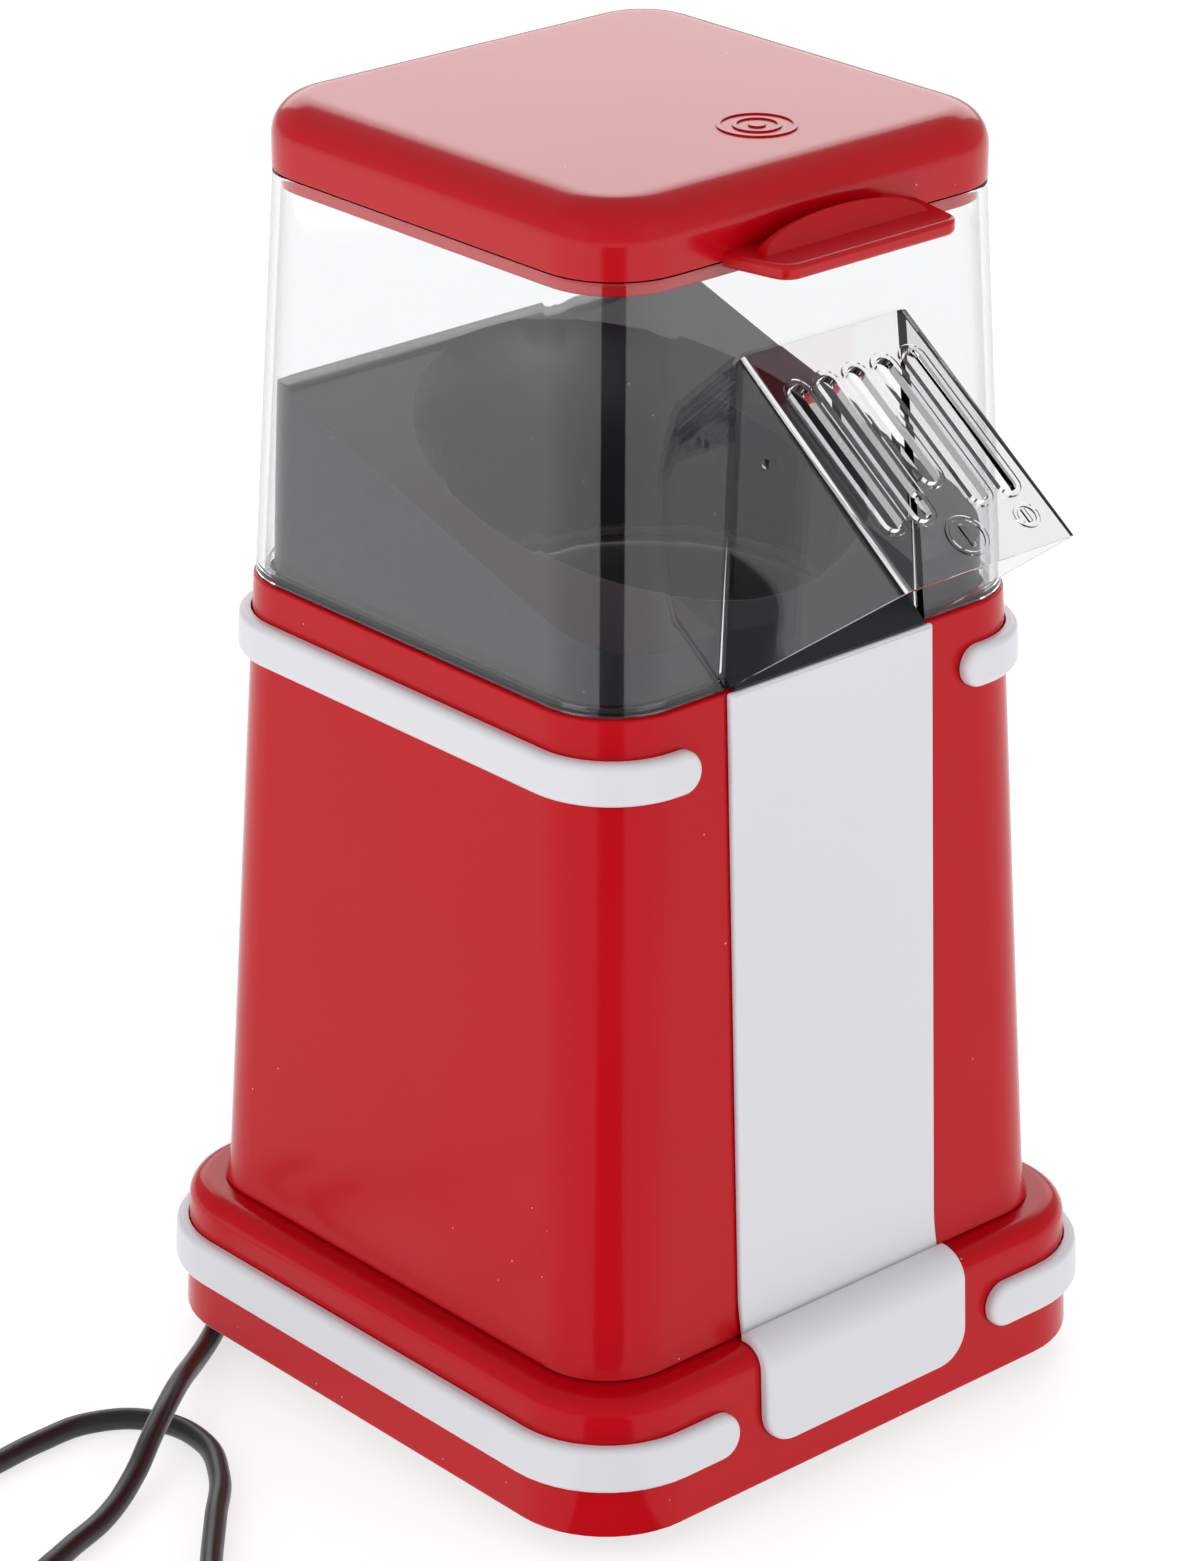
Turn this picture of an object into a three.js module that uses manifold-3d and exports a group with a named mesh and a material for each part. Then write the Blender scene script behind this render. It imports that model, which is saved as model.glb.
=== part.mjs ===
// Countertop hot-air popcorn maker: a square tapered tower on a plinth, a clear hood with a
// pouring visor, and a lift-off lid. Inside are a motor, a fan, a heater and a popping chamber.
// Millimetres, +Z up, front towards -Y. The origin is the middle of the object's box at table level.
import * as THREE from "three";
import { mergeVertices } from "three/addons/utils/BufferGeometryUtils.js";
import Module from "manifold-3d";

const wasm = await Module();
wasm.setup();

// Driving dimensions. Heights are from the table; X and Y are from the tower's axis.
const GAP = 0.3; // clearance between neighbouring pieces
const WALL = 2.2; // moulded wall of the plinth and the tower
const CORNER_STEPS = 3; // three.js draws twice this many facets in each arc

const FOOT_HEIGHT = 6;
const FOOT_RADIUS = 8;
const FOOT_PLACE = 56;

const PLINTH_HALF = 82.5; // half width at the bottom edge
const PLINTH_DRAFT = 1.3; // how much narrower each side is where the shoulder starts
const PLINTH_CORNER_CENTRE = 57.2;
const SHOULDER_Z = 35;
const SHOULDER_RADIUS = 5;
const PLINTH_TOP = SHOULDER_Z + SHOULDER_RADIUS;
const SHOULDER_HALF = PLINTH_HALF - PLINTH_DRAFT - SHOULDER_RADIUS;

const TOWER_BOTTOM = PLINTH_TOP + GAP;
const TOWER_TOP = 196.4;
const TOWER_HALF_LOW = 72.2; // half width just above the flared foot
const TOWER_HALF_TOP = 66.25;
const TOWER_FLARE_TOP = 50;
const TOWER_CORNER_LOW = 18.2;
const TOWER_CORNER_TOP = 19.6;
const SHELF_Z = 186; // top of the ledge inside the tower that carries the chute
const SHELF_THICK = 2;

const PANEL_HALF = 31; // white strip down the front
const PANEL_PROUD = 1.4;
const TAB_HALF = 32; // white tongue over the plinth below the strip
const TAB_PROUD = 2.6;
const TAB_BOTTOM = 15.5;
const TAB_CORNER = 8.5;

const BAND_PROUD = 3; // white bumper bands
const BAND_TIP = 40.3; // where their rounded ends stop, from the middle of the face
const LOW_BAND_Z = [18.5, 29.5];
const HIGH_BAND_Z = [177.5, 187.5];

const HOOD_WALL = 2;
const HOOD_BOTTOM = TOWER_TOP + 0.4;
const HOOD_TOP = 292.4;
const HOOD_HALF_LOW = 65.7;
const HOOD_HALF_TOP = 61.5;
const HOOD_CORNER = 19;
const HOOD_SKIRT_HALF = 63.75; // outside of the skirt that drops into the tower
const HOOD_SKIRT_BOTTOM = 190;

const VISOR_WALL = 1.6;
const VISOR_FOOT = { y: -HOOD_HALF_LOW, z: 197 };
const VISOR_TIP = { y: -114.8, z: 233 };
const VISOR_ROOT = { y: -62, z: 271 };
const VISOR_HALF = 31; // half width at its foot
const VISOR_PER_Y = 0.0409; // change of the half width with y and with z
const VISOR_PER_Z = -0.0831;
const SLOT_WIDTH = 4.5;
const SLOT_PITCH = 8.5;

const LID_BOTTOM = HOOD_TOP + GAP;
const LID_TOP = 309;
const LID_HALF = 61.5;
const LID_CORNER_CENTRE = 42.8;
const LID_EDGE_RADIUS = 9;
const LID_WALL = 2;
const LID_SKIRT_HALF = 59.3;
const LID_SKIRT_BOTTOM = 289;
const TONGUE_REACH = 78; // front edge of the finger tongue
const TONGUE_Z = [291.3, 294.8];

const CHAMBER_Y = -5; // the round works stand a little forward of the tower's axis
const WELL_RADIUS = 51;
const WELL_THROAT = 45;
const WELL_SIDES = 40;
const CHUTE_BOTTOM = SHELF_Z + GAP;
const CHUTE_HALF_LOW = 61.8;
const CHUTE_HALF_TOP = 60.4;
const CHUTE_CORNER = 16;
const CHUTE_RIDGE = { y: 47, z: 243.6 };
const CHUTE_SLOPE = 0.32;
const CHUTE_WALL = 2;
const SPOUT_HALF = 30;

const CHAMBER_RADIUS = 42.6;
const CHAMBER_FLOOR = 111;
const CHAMBER_FLANGE_Z = 189.3;
const DUCT_RADIUS = 50;
const DECK_Z = 42.6;
const DECK_TOP = DECK_Z + 2;
const DUCT_BOTTOM = 68.3;
const COVER_Z = [7.2, 9.2];
const SHAFT_RADIUS = 1.5;
const MOTOR_RADIUS = 15;
const MOTOR_Z = [13, DECK_Z - GAP];
const MOTOR_SCREW_X = [-9.5, 9.5];

const SWITCH = { x: -22, y: 80, z: 22 };
const SWITCH_HALF = { x: 11.4, z: 7.2 }; // the switch's body; its hole is a little larger
const SWITCH_EASE = 0.4;
const ROCKER_REST_TILT = 8; // degrees, towards the off side
const CORD_DIAMETER = 5.2;
const CORD_EXIT = { x: 30, y: 112, z: 17 }; // end face of the strain relief
const COIL = { x: -194, y: 76, radius: 28.6 };

// The object's box runs from the visor's tip to the bands at the back, so its middle lies in front
// of the tower's axis by half the difference.
const REAR_REACH = plinthHalf(LOW_BAND_Z[0]) + BAND_PROUD;
const BODY_Y = (-VISOR_TIP.y - REAR_REACH) / 2;

const red = new THREE.MeshStandardMaterial({ color: 0xb01a26, roughness: 0.22, metalness: 0 });
const white = new THREE.MeshStandardMaterial({ color: 0xdedee6, roughness: 0.3, metalness: 0 });
const clear = new THREE.MeshStandardMaterial({
  color: 0xf2f6f8,
  roughness: 0.05,
  metalness: 0,
  transparent: true,
  opacity: 0.3,
});
const charcoal = new THREE.MeshStandardMaterial({ color: 0x4c4e54, roughness: 0.4, metalness: 0 });
const black = new THREE.MeshStandardMaterial({ color: 0x17171a, roughness: 0.5, metalness: 0 });
const rubber = new THREE.MeshStandardMaterial({ color: 0x222224, roughness: 0.8, metalness: 0 });
const steel = new THREE.MeshStandardMaterial({ color: 0x9b9da1, roughness: 0.35, metalness: 1 });
const aluminium = new THREE.MeshStandardMaterial({ color: 0xb9bcc0, roughness: 0.4, metalness: 1 });
const mica = new THREE.MeshStandardMaterial({ color: 0xb8a382, roughness: 0.6, metalness: 0 });
const brass = new THREE.MeshStandardMaterial({ color: 0xc2a15a, roughness: 0.3, metalness: 1 });

const object = new THREE.Group();
const body = new THREE.Group(); // everything below is built about the tower's axis
body.position.set(0, BODY_Y, 0);
object.add(body);

// ---- Solids and placing ----

function solid(geometry) {
  const loose = geometry.index ? geometry.toNonIndexed() : geometry;
  const bare = new THREE.BufferGeometry();
  bare.setAttribute("position", loose.getAttribute("position"));
  const merged = mergeVertices(bare, 1e-4);
  return new wasm.Manifold(
    new wasm.Mesh({
      numProp: 3,
      vertProperties: merged.attributes.position.array,
      triVerts: new Uint32Array(merged.index.array),
    }),
  );
}

function add(name, shape, material) {
  const { vertProperties, triVerts } = shape.getMesh();
  const geometry = new THREE.BufferGeometry();
  geometry.setAttribute("position", new THREE.BufferAttribute(vertProperties, 3));
  geometry.setIndex(new THREE.BufferAttribute(triVerts, 1));
  geometry.computeVertexNormals();
  const mesh = new THREE.Mesh(geometry, material);
  mesh.name = name;
  body.add(mesh);
}

function box([x0, x1], [y0, y1], [z0, z1]) {
  const geometry = new THREE.BoxGeometry(x1 - x0, y1 - y0, z1 - z0);
  geometry.translate((x0 + x1) / 2, (y0 + y1) / 2, (z0 + z1) / 2);
  return solid(geometry);
}

// An upright cylinder or cone.
function rod(x, y, [z0, z1], low, high = low, sides = 12) {
  const geometry = new THREE.CylinderGeometry(high, low, z1 - z0, sides);
  geometry.rotateX(Math.PI / 2);
  geometry.translate(x, y, (z0 + z1) / 2);
  return solid(geometry);
}

// An upright turned piece; the profile is a closed loop of [radius, z].
function turned(x, y, profile, sides = 32) {
  const points = profile.map(([r, z]) => new THREE.Vector2(r, z));
  const geometry = new THREE.LatheGeometry(points, sides);
  geometry.rotateX(Math.PI / 2);
  geometry.translate(x, y, 0);
  return solid(geometry);
}

function ring(x, y, inner, outer, [z0, z1], sides = 32) {
  const profile = [[inner, z0], [outer, z0], [outer, z1], [inner, z1], [inner, z0]];
  return turned(x, y, profile, sides);
}

// A prism along X of an outline given as [y, z].
function prismX(outline, [x0, x1]) {
  const shape = new THREE.Shape(outline.map(([y, z]) => new THREE.Vector2(y, z)));
  const geometry = new THREE.ExtrudeGeometry(shape, { depth: x1 - x0, bevelEnabled: false });
  const turn = new THREE.Matrix4();
  turn.makeBasis(
    new THREE.Vector3(0, 1, 0),
    new THREE.Vector3(0, 0, 1),
    new THREE.Vector3(1, 0, 0),
  );
  geometry.applyMatrix4(turn);
  geometry.translate(x0, 0, 0);
  return solid(geometry);
}

// A prism along Y of a shape drawn in X and Z.
function prismY(shape, [y0, y1]) {
  const depth = y1 - y0;
  const options = { depth, curveSegments: CORNER_STEPS, bevelEnabled: false };
  const geometry = new THREE.ExtrudeGeometry(shape, options);
  geometry.rotateX(Math.PI / 2);
  geometry.translate(0, y1, 0);
  return solid(geometry);
}

// A rounded-square block; each row is [z, half width, corner radius], from the bottom up.
function loft(rows) {
  const shape = new THREE.Shape();
  shape.absarc(1, 1, 1, 0, Math.PI / 2);
  shape.absarc(-1, 1, 1, Math.PI / 2, Math.PI);
  shape.absarc(-1, -1, 1, Math.PI, 1.5 * Math.PI);
  shape.absarc(1, -1, 1, 1.5 * Math.PI, 2 * Math.PI);
  const steps = rows.length - 1;
  const options = { depth: steps, steps, curveSegments: CORNER_STEPS, bevelEnabled: false };
  const geometry = new THREE.ExtrudeGeometry(shape, options);
  const place = geometry.attributes.position;
  for (let i = 0; i < place.count; i += 1) {
    const [z, half, radius] = rows[Math.round(place.getZ(i))];
    const sx = Math.sign(place.getX(i));
    const sy = Math.sign(place.getY(i));
    const x = sx * (half - radius) + radius * (place.getX(i) - sx);
    const y = sy * (half - radius) + radius * (place.getY(i) - sy);
    place.setXYZ(i, x, y, z);
  }
  return solid(geometry);
}

// The two ends of a span about its middle.
function around(middle, half) {
  return [middle - half, middle + half];
}

// The same place in all four corners.
function corners(x, y) {
  return [[x, y], [-x, y], [-x, -y], [x, -y]];
}

// ---- Outlines that several pieces share ----

function plinthHalf(z) {
  return PLINTH_HALF - (PLINTH_DRAFT * (z - FOOT_HEIGHT)) / (SHOULDER_Z - FOOT_HEIGHT);
}

// The plinth's outside, grown by an offset, from a given bottom.
function plinthBlock(offset, bottom = FOOT_HEIGHT) {
  const rows = [bottom, SHOULDER_Z].map((z) => {
    const half = plinthHalf(Math.max(z, FOOT_HEIGHT)) + offset;
    return [z, half, half - PLINTH_CORNER_CENTRE];
  });
  for (let k = 1; k <= 4; k += 1) {
    const angle = (k * Math.PI) / 8;
    const half = SHOULDER_HALF + (SHOULDER_RADIUS + offset) * Math.cos(angle);
    const z = SHOULDER_Z + (SHOULDER_RADIUS + offset) * Math.sin(angle);
    rows.push([z, half, half - PLINTH_CORNER_CENTRE]);
  }
  return loft(rows);
}

function towerHalf(z) {
  const share = (z - TOWER_FLARE_TOP) / (TOWER_TOP - TOWER_FLARE_TOP);
  return TOWER_HALF_LOW + (TOWER_HALF_TOP - TOWER_HALF_LOW) * share;
}

function towerCorner(z) {
  const share = (z - TOWER_BOTTOM) / (TOWER_TOP - TOWER_BOTTOM);
  return TOWER_CORNER_LOW + (TOWER_CORNER_TOP - TOWER_CORNER_LOW) * share;
}

// The tower's outside, grown by an offset; it flares out a little at the foot.
function towerBlock(offset, bottom = TOWER_BOTTOM, top = TOWER_TOP) {
  const rows = [
    [bottom, TOWER_HALF_LOW + 1.1 + offset, TOWER_CORNER_LOW + offset],
    [TOWER_BOTTOM + 3, TOWER_HALF_LOW + 0.5 + offset, TOWER_CORNER_LOW + offset],
    [TOWER_FLARE_TOP, TOWER_HALF_LOW + offset, towerCorner(TOWER_FLARE_TOP) + offset],
    [top, towerHalf(top) + offset, towerCorner(top) + offset],
  ];
  return loft(rows);
}

function hoodHalf(z) {
  const share = (z - HOOD_BOTTOM) / (HOOD_TOP - HOOD_BOTTOM);
  return HOOD_HALF_LOW + (HOOD_HALF_TOP - HOOD_HALF_LOW) * share;
}

function hoodBlock(offset, bottom = HOOD_BOTTOM, top = HOOD_TOP) {
  return loft([bottom, top].map((z) => [z, hoodHalf(z) + offset, HOOD_CORNER + offset]));
}

// The front view of one bumper band: open towards its own side, round at the tip.
function bandShape([z0, z1], side) {
  const radius = (z1 - z0) / 2;
  const far = PLINTH_HALF + 20;
  const centre = BAND_TIP + radius;
  const shape = new THREE.Shape();
  shape.moveTo(far, z0);
  shape.lineTo(far, z1);
  shape.lineTo(centre, z1);
  shape.absarc(centre, z0 + radius, radius, Math.PI / 2, 1.5 * Math.PI);
  if (side > 0) return shape;
  const points = shape.getPoints(CORNER_STEPS);
  return new THREE.Shape(points.map(({ x, y }) => new THREE.Vector2(-x, y)));
}

// ---- Plinth, tower and trim ----

const DECK_SCREWS = corners(58, 58);
const COVER_SCREWS = corners(68, 28);
const CHUTE_SCREWS = corners(52, 52);

function makePlinth() {
  let shell = plinthBlock(0).subtract(plinthBlock(-WALL, FOOT_HEIGHT - 1));
  shell = shell.subtract(loft([[SHOULDER_Z, 60, 30], [PLINTH_TOP + 1, 60, 30]]));
  for (const [x, y] of COVER_SCREWS) {
    shell = shell.add(rod(x, y, [COVER_Z[1] + GAP, PLINTH_TOP - 1], 4));
    shell = shell.subtract(rod(x, y, [COVER_Z[1], 24], 1.6));
  }
  for (const [x, y] of DECK_SCREWS) shell = shell.subtract(rod(x, y, [35, 42], 1.7));
  const switchHole = box(
    around(SWITCH.x, SWITCH_HALF.x + SWITCH_EASE),
    [70, 90],
    around(SWITCH.z, SWITCH_HALF.z + SWITCH_EASE),
  );
  const cordHole = rodY(CORD_EXIT.x, CORD_EXIT.z, [70, 90], 5.3);
  add("plinth_shell", shell.subtract(switchHole).subtract(cordHole), red);
}

function makeTower() {
  const hollow = towerBlock(-WALL, TOWER_BOTTOM - 1, TOWER_TOP + 1);
  const low = loft([[TOWER_BOTTOM, 72, 17], [DECK_Z - GAP, 72, 17]]);
  const flange = low.subtract(loft([[TOWER_BOTTOM - 1, 62, 32], [DECK_Z, 62, 32]]));
  const half = towerHalf(SHELF_Z) - 1.2;
  const plate = loft([[SHELF_Z - SHELF_THICK, half, 17.5], [SHELF_Z, half, 17.5]]);
  const shelf = plate.subtract(loft([[SHELF_Z - 3, 57, 33], [SHELF_Z + 1, 57, 33]]));
  let shell = towerBlock(0).subtract(hollow).add(flange).add(shelf);
  for (const [x, y] of DECK_SCREWS) shell = shell.subtract(rod(x, y, [39, 43], 1.7));
  for (const [x, y] of CHUTE_SCREWS) shell = shell.subtract(rod(x, y, [183, 187], 1.7));
  add("tower_housing", shell, red);
}

function makePanel() {
  const skin = towerBlock(PANEL_PROUD).subtract(towerBlock(GAP, TOWER_BOTTOM - 1, TOWER_TOP + 1));
  const cut = box([-PANEL_HALF, PANEL_HALF], [-90, -50], [PLINTH_TOP + GAP, TOWER_TOP]);
  add("front_panel", skin.intersect(cut), white);
}

function makeTab() {
  const skin = plinthBlock(TAB_PROUD).subtract(plinthBlock(GAP, FOOT_HEIGHT - 1));
  const turnX = TAB_HALF - TAB_CORNER;
  const turnZ = TAB_BOTTOM + TAB_CORNER;
  const shape = new THREE.Shape();
  shape.absarc(-turnX, turnZ, TAB_CORNER, Math.PI, 1.5 * Math.PI);
  shape.absarc(turnX, turnZ, TAB_CORNER, 1.5 * Math.PI, 2 * Math.PI);
  shape.lineTo(TAB_HALF, PLINTH_TOP + 10);
  shape.lineTo(-TAB_HALF, PLINTH_TOP + 10);
  const tongue = skin.intersect(prismY(shape, [-100, -60]));
  add("front_tab", tongue.subtract(towerBlock(PANEL_PROUD + GAP)), white);
}

function makeBands() {
  const low = plinthBlock(BAND_PROUD).subtract(plinthBlock(GAP, FOOT_HEIGHT - 1));
  const high = towerBlock(BAND_PROUD).subtract(towerBlock(GAP, TOWER_BOTTOM - 1, TOWER_TOP + 1));
  for (const [word, side] of [["left", -1], ["right", 1]]) {
    const lowCut = prismY(bandShape(LOW_BAND_Z, side), [-100, 100]);
    const highCut = prismY(bandShape(HIGH_BAND_Z, side), [-100, 100]);
    add(`lower_band_${word}`, low.intersect(lowCut), white);
    add(`upper_band_${word}`, high.intersect(highCut), white);
  }
}

// ---- Hood and lid ----

// Half width of the visor at a height and a reach.
function visorHalf(y, z) {
  return VISOR_HALF + VISOR_PER_Y * (y - VISOR_FOOT.y) + VISOR_PER_Z * (z - VISOR_FOOT.z);
}

// A wedge whose sides lean as the visor's do, from an outline given as [y, z].
function visorWedge(outline, inset) {
  const shape = new THREE.Shape(outline.map(([y, z]) => new THREE.Vector2(y, z)));
  const geometry = new THREE.ExtrudeGeometry(shape, { depth: 2, bevelEnabled: false });
  const place = geometry.attributes.position;
  for (let i = 0; i < place.count; i += 1) {
    const y = place.getX(i);
    const z = place.getY(i);
    const x = (place.getZ(i) - 1) * (visorHalf(y, z) - inset);
    place.setXYZ(i, x, y, z);
  }
  return solid(geometry);
}

// A rounded slot through the visor's sloping plate, from one y to another.
function visorSlot(x, nearY, farY) {
  const slope = (VISOR_ROOT.z - VISOR_TIP.z) / (VISOR_ROOT.y - VISOR_TIP.y);
  const tilt = Math.atan(slope);
  const run = (nearY - farY) / Math.cos(tilt) / 2 - SLOT_WIDTH / 2;
  const shape = new THREE.Shape();
  shape.absarc(0, run, SLOT_WIDTH / 2, 0, Math.PI);
  shape.absarc(0, -run, SLOT_WIDTH / 2, Math.PI, 2 * Math.PI);
  const depth = 5 * VISOR_WALL;
  const options = { depth, curveSegments: CORNER_STEPS, bevelEnabled: false };
  const geometry = new THREE.ExtrudeGeometry(shape, options);
  const y = (nearY + farY) / 2;
  geometry.translate(0, 0, -depth / 2);
  geometry.rotateX(tilt);
  geometry.translate(x, y, VISOR_ROOT.z + slope * (y - VISOR_ROOT.y));
  return solid(geometry);
}

function makeHood() {
  const { y: footY, z: footZ } = VISOR_FOOT;
  const { y: tipY, z: tipZ } = VISOR_TIP;
  const { y: rootY, z: rootZ } = VISOR_ROOT;
  const shellTop = HOOD_TOP + 1;
  let shell = hoodBlock(0).subtract(hoodBlock(-HOOD_WALL, HOOD_BOTTOM - 1, shellTop));
  const skirt = loft([
    [HOOD_SKIRT_BOTTOM, HOOD_SKIRT_HALF, 17],
    [HOOD_BOTTOM, HOOD_SKIRT_HALF, 17],
    [HOOD_BOTTOM + 0.05, HOOD_SKIRT_HALF + 0.9, 17.9],
    [HOOD_BOTTOM + 2, HOOD_SKIRT_HALF + 0.9, 17.9],
  ]);
  const skirtHole = loft([[HOOD_SKIRT_BOTTOM - 1, 62.35, 15.6], [HOOD_BOTTOM + 3, 62.35, 15.6]]);
  shell = shell.add(skirt.subtract(skirtHole));
  const outline = [[tipY, tipZ], [footY, footZ], [-63, footZ], [-61.2, rootZ], [rootY, rootZ]];
  const outer = visorWedge(outline, 0);
  const drop = VISOR_WALL * 1.23; // the wall measured straight down through the slope
  const slope = (rootZ - tipZ) / (rootY - tipY);
  const below = 8; // how far the hollow runs out below the visor's open side
  const inY = -50;
  const hollow = [
    [tipY, tipZ - drop],
    [tipY, tipZ - below],
    [footY, footZ - below],
    [inY, footZ - below],
    [inY, rootZ - drop + slope * (inY - rootY)],
  ];
  const inner = visorWedge(hollow, VISOR_WALL);
  shell = shell.add(outer).subtract(inner);
  for (let k = -2; k <= 2; k += 1) {
    shell = shell.subtract(visorSlot(k * SLOT_PITCH, -70.7, k === 0 ? -97 : -103.3));
  }
  add("clear_hood", shell, clear);
}

function lidBlock(offset, bottom) {
  const rows = [bottom, LID_TOP - LID_EDGE_RADIUS].map((z) => {
    const half = LID_HALF + offset;
    return [z, half, half - LID_CORNER_CENTRE];
  });
  for (let k = 1; k <= 4; k += 1) {
    const angle = (k * Math.PI) / 8;
    const half = LID_HALF - LID_EDGE_RADIUS + (LID_EDGE_RADIUS + offset) * Math.cos(angle);
    const z = LID_TOP - LID_EDGE_RADIUS + (LID_EDGE_RADIUS + offset) * Math.sin(angle);
    rows.push([z, half, half - LID_CORNER_CENTRE]);
  }
  return loft(rows);
}

function makeLid() {
  let lid = lidBlock(0, LID_BOTTOM).subtract(lidBlock(-LID_WALL, LID_BOTTOM - 1));
  const skirt = loft([
    [LID_SKIRT_BOTTOM, LID_SKIRT_HALF, 16.5],
    [LID_BOTTOM, LID_SKIRT_HALF, 16.5],
    [LID_BOTTOM + 0.05, LID_SKIRT_HALF + 1, 17.5],
    [LID_BOTTOM + 2, LID_SKIRT_HALF + 1, 17.5],
  ]);
  const hole = loft([[LID_SKIRT_BOTTOM - 1, 57.8, 15], [LID_BOTTOM + 3, 57.8, 15]]);
  lid = lid.add(skirt.subtract(hole));
  const front = -TONGUE_REACH;
  const plan = new THREE.Shape();
  plan.moveTo(29, -61.9);
  plan.lineTo(-29, -61.9);
  plan.lineTo(-25.6, front + 4);
  plan.absarc(-21.6, front + 4, 4, Math.PI, 1.5 * Math.PI);
  plan.absarc(21.6, front + 4, 4, 1.5 * Math.PI, 2 * Math.PI);
  const depth = TONGUE_Z[1] - TONGUE_Z[0];
  const plate = new THREE.ExtrudeGeometry(plan, { depth, curveSegments: 3, bevelEnabled: false });
  plate.translate(0, 0, TONGUE_Z[0]);
  const root = box([-28.9, 28.9], [-63, -60.2], [LID_BOTTOM + GAP, TONGUE_Z[1]]);
  const ridge = new THREE.Shape();
  ridge.moveTo(-24, TONGUE_Z[1] - 0.5);
  ridge.quadraticCurveTo(0, TONGUE_Z[1] + 10.5, 24, TONGUE_Z[1] - 0.5);
  lid = lid.add(solid(plate)).add(root).add(prismY(ridge, [-69.5, -66.5]));
  add("lid", lid, red);
}

// ---- Chute and popping works ----

function chuteSurface(y) {
  return CHUTE_RIDGE.z + CHUTE_SLOPE * (y - CHUTE_RIDGE.y);
}

// Everything above the chute's sloping top, lowered by a drop; the back edge is rounded.
function aboveSlope(drop) {
  const outline = [[-90, chuteSurface(-90) - drop], [CHUTE_RIDGE.y, CHUTE_RIDGE.z - drop]];
  for (let k = 1; k <= 4; k += 1) {
    const angle = (k * Math.PI) / 9;
    outline.push([
      CHUTE_RIDGE.y + 16 * Math.sin(angle),
      CHUTE_RIDGE.z - drop + 0.9 - 16 * (1 - Math.cos(angle)),
    ]);
  }
  outline.push([90, 215], [90, 300], [-90, 300]);
  return prismX(outline, [-80, 80]);
}

// The dished edge of the well: a cone sheared to lie along the slope.
function wellEdge(grow) {
  const drop = 8;
  const rise = 4;
  const spread = ((WELL_RADIUS - WELL_THROAT) * (drop + rise)) / drop;
  const low = WELL_THROAT + grow;
  const geometry = new THREE.CylinderGeometry(low + spread, low, drop + rise, WELL_SIDES);
  geometry.rotateX(Math.PI / 2);
  geometry.translate(0, CHAMBER_Y, (rise - drop) / 2);
  const place = geometry.attributes.position;
  for (let i = 0; i < place.count; i += 1) {
    place.setZ(i, place.getZ(i) + chuteSurface(place.getY(i)) - grow);
  }
  return solid(geometry);
}

function makeChute() {
  const low = CHUTE_BOTTOM;
  const rows = (inset, z0) => [
    [z0, CHUTE_HALF_LOW - inset, CHUTE_CORNER - inset],
    [250, CHUTE_HALF_TOP - inset, CHUTE_CORNER - inset],
  ];
  const sleeveBottom = CHAMBER_FLANGE_Z + 3.6;
  const throat = rod(0, CHAMBER_Y, [low - 1, 240], WELL_THROAT, WELL_THROAT, WELL_SIDES);
  const reach = WELL_THROAT + CHUTE_WALL;
  const sleeve = rod(0, CHAMBER_Y, [sleeveBottom, 240], reach, reach, WELL_SIDES);
  const spoutCut = [[-90, 177.7], [-52, 209.9], [-44, 214], [-44, 260], [-90, 260]];
  const spout = prismX(spoutCut, [-SPOUT_HALF, SPOUT_HALF]);
  const spoutFloor = box([-SPOUT_HALF - 2, SPOUT_HALF + 2], [-70, -46], [sleeveBottom, 212]);
  const lip = box([-SPOUT_HALF + 1, SPOUT_HALF - 1], [-67, -61], [TOWER_TOP + GAP, TOWER_TOP + 6]);
  let hollow = loft(rows(CHUTE_WALL, low - 1)).subtract(aboveSlope(CHUTE_WALL + 0.4));
  hollow = hollow.subtract(sleeve).subtract(wellEdge(CHUTE_WALL)).subtract(spoutFloor);
  for (const [x, y] of CHUTE_SCREWS) hollow = hollow.subtract(rod(x, y, [low, 240], 4));
  let chute = loft(rows(0, low)).subtract(aboveSlope(0)).subtract(hollow).add(lip);
  chute = chute.subtract(throat).subtract(wellEdge(0)).subtract(spout);
  for (const [x, y] of CHUTE_SCREWS) chute = chute.subtract(rod(x, y, [low - 1, low + 8], 1.6));
  add("popcorn_chute", chute, charcoal);
}

function makeChamber() {
  const top = CHAMBER_FLANGE_Z + 1;
  let chamber = turned(0, CHAMBER_Y, [
    [0, CHAMBER_FLOOR],
    [38, CHAMBER_FLOOR],
    [CHAMBER_RADIUS, CHAMBER_FLOOR + 5],
    [CHAMBER_RADIUS, CHAMBER_FLANGE_Z],
    [52, CHAMBER_FLANGE_Z],
    [52, top],
    [CHAMBER_RADIUS - 1, top],
    [CHAMBER_RADIUS - 1, CHAMBER_FLOOR + 5.4],
    [37.6, CHAMBER_FLOOR + 1],
    [0, CHAMBER_FLOOR + 1],
  ]);
  const vents = 10;
  for (let k = 0; k < vents; k += 1) {
    const vent = new THREE.BoxGeometry(6, 1.8, 14);
    vent.rotateX(0.6);
    vent.translate(CHAMBER_RADIUS - 0.5, 0, CHAMBER_FLOOR + 14);
    vent.rotateZ((k * 2 * Math.PI) / vents);
    vent.translate(0, CHAMBER_Y, 0);
    chamber = chamber.subtract(solid(vent));
  }
  add("popping_chamber", chamber, aluminium);
  const sealZ = [top + GAP, top + 2.3];
  add("chamber_gasket", ring(0, CHAMBER_Y, 43.5, 51, sealZ), rubber);
  const ductZ = [DUCT_BOTTOM, CHAMBER_FLANGE_Z - GAP];
  add("heater_duct", ring(0, CHAMBER_Y, DUCT_RADIUS - 1.2, DUCT_RADIUS, ductZ), steel);
}

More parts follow.
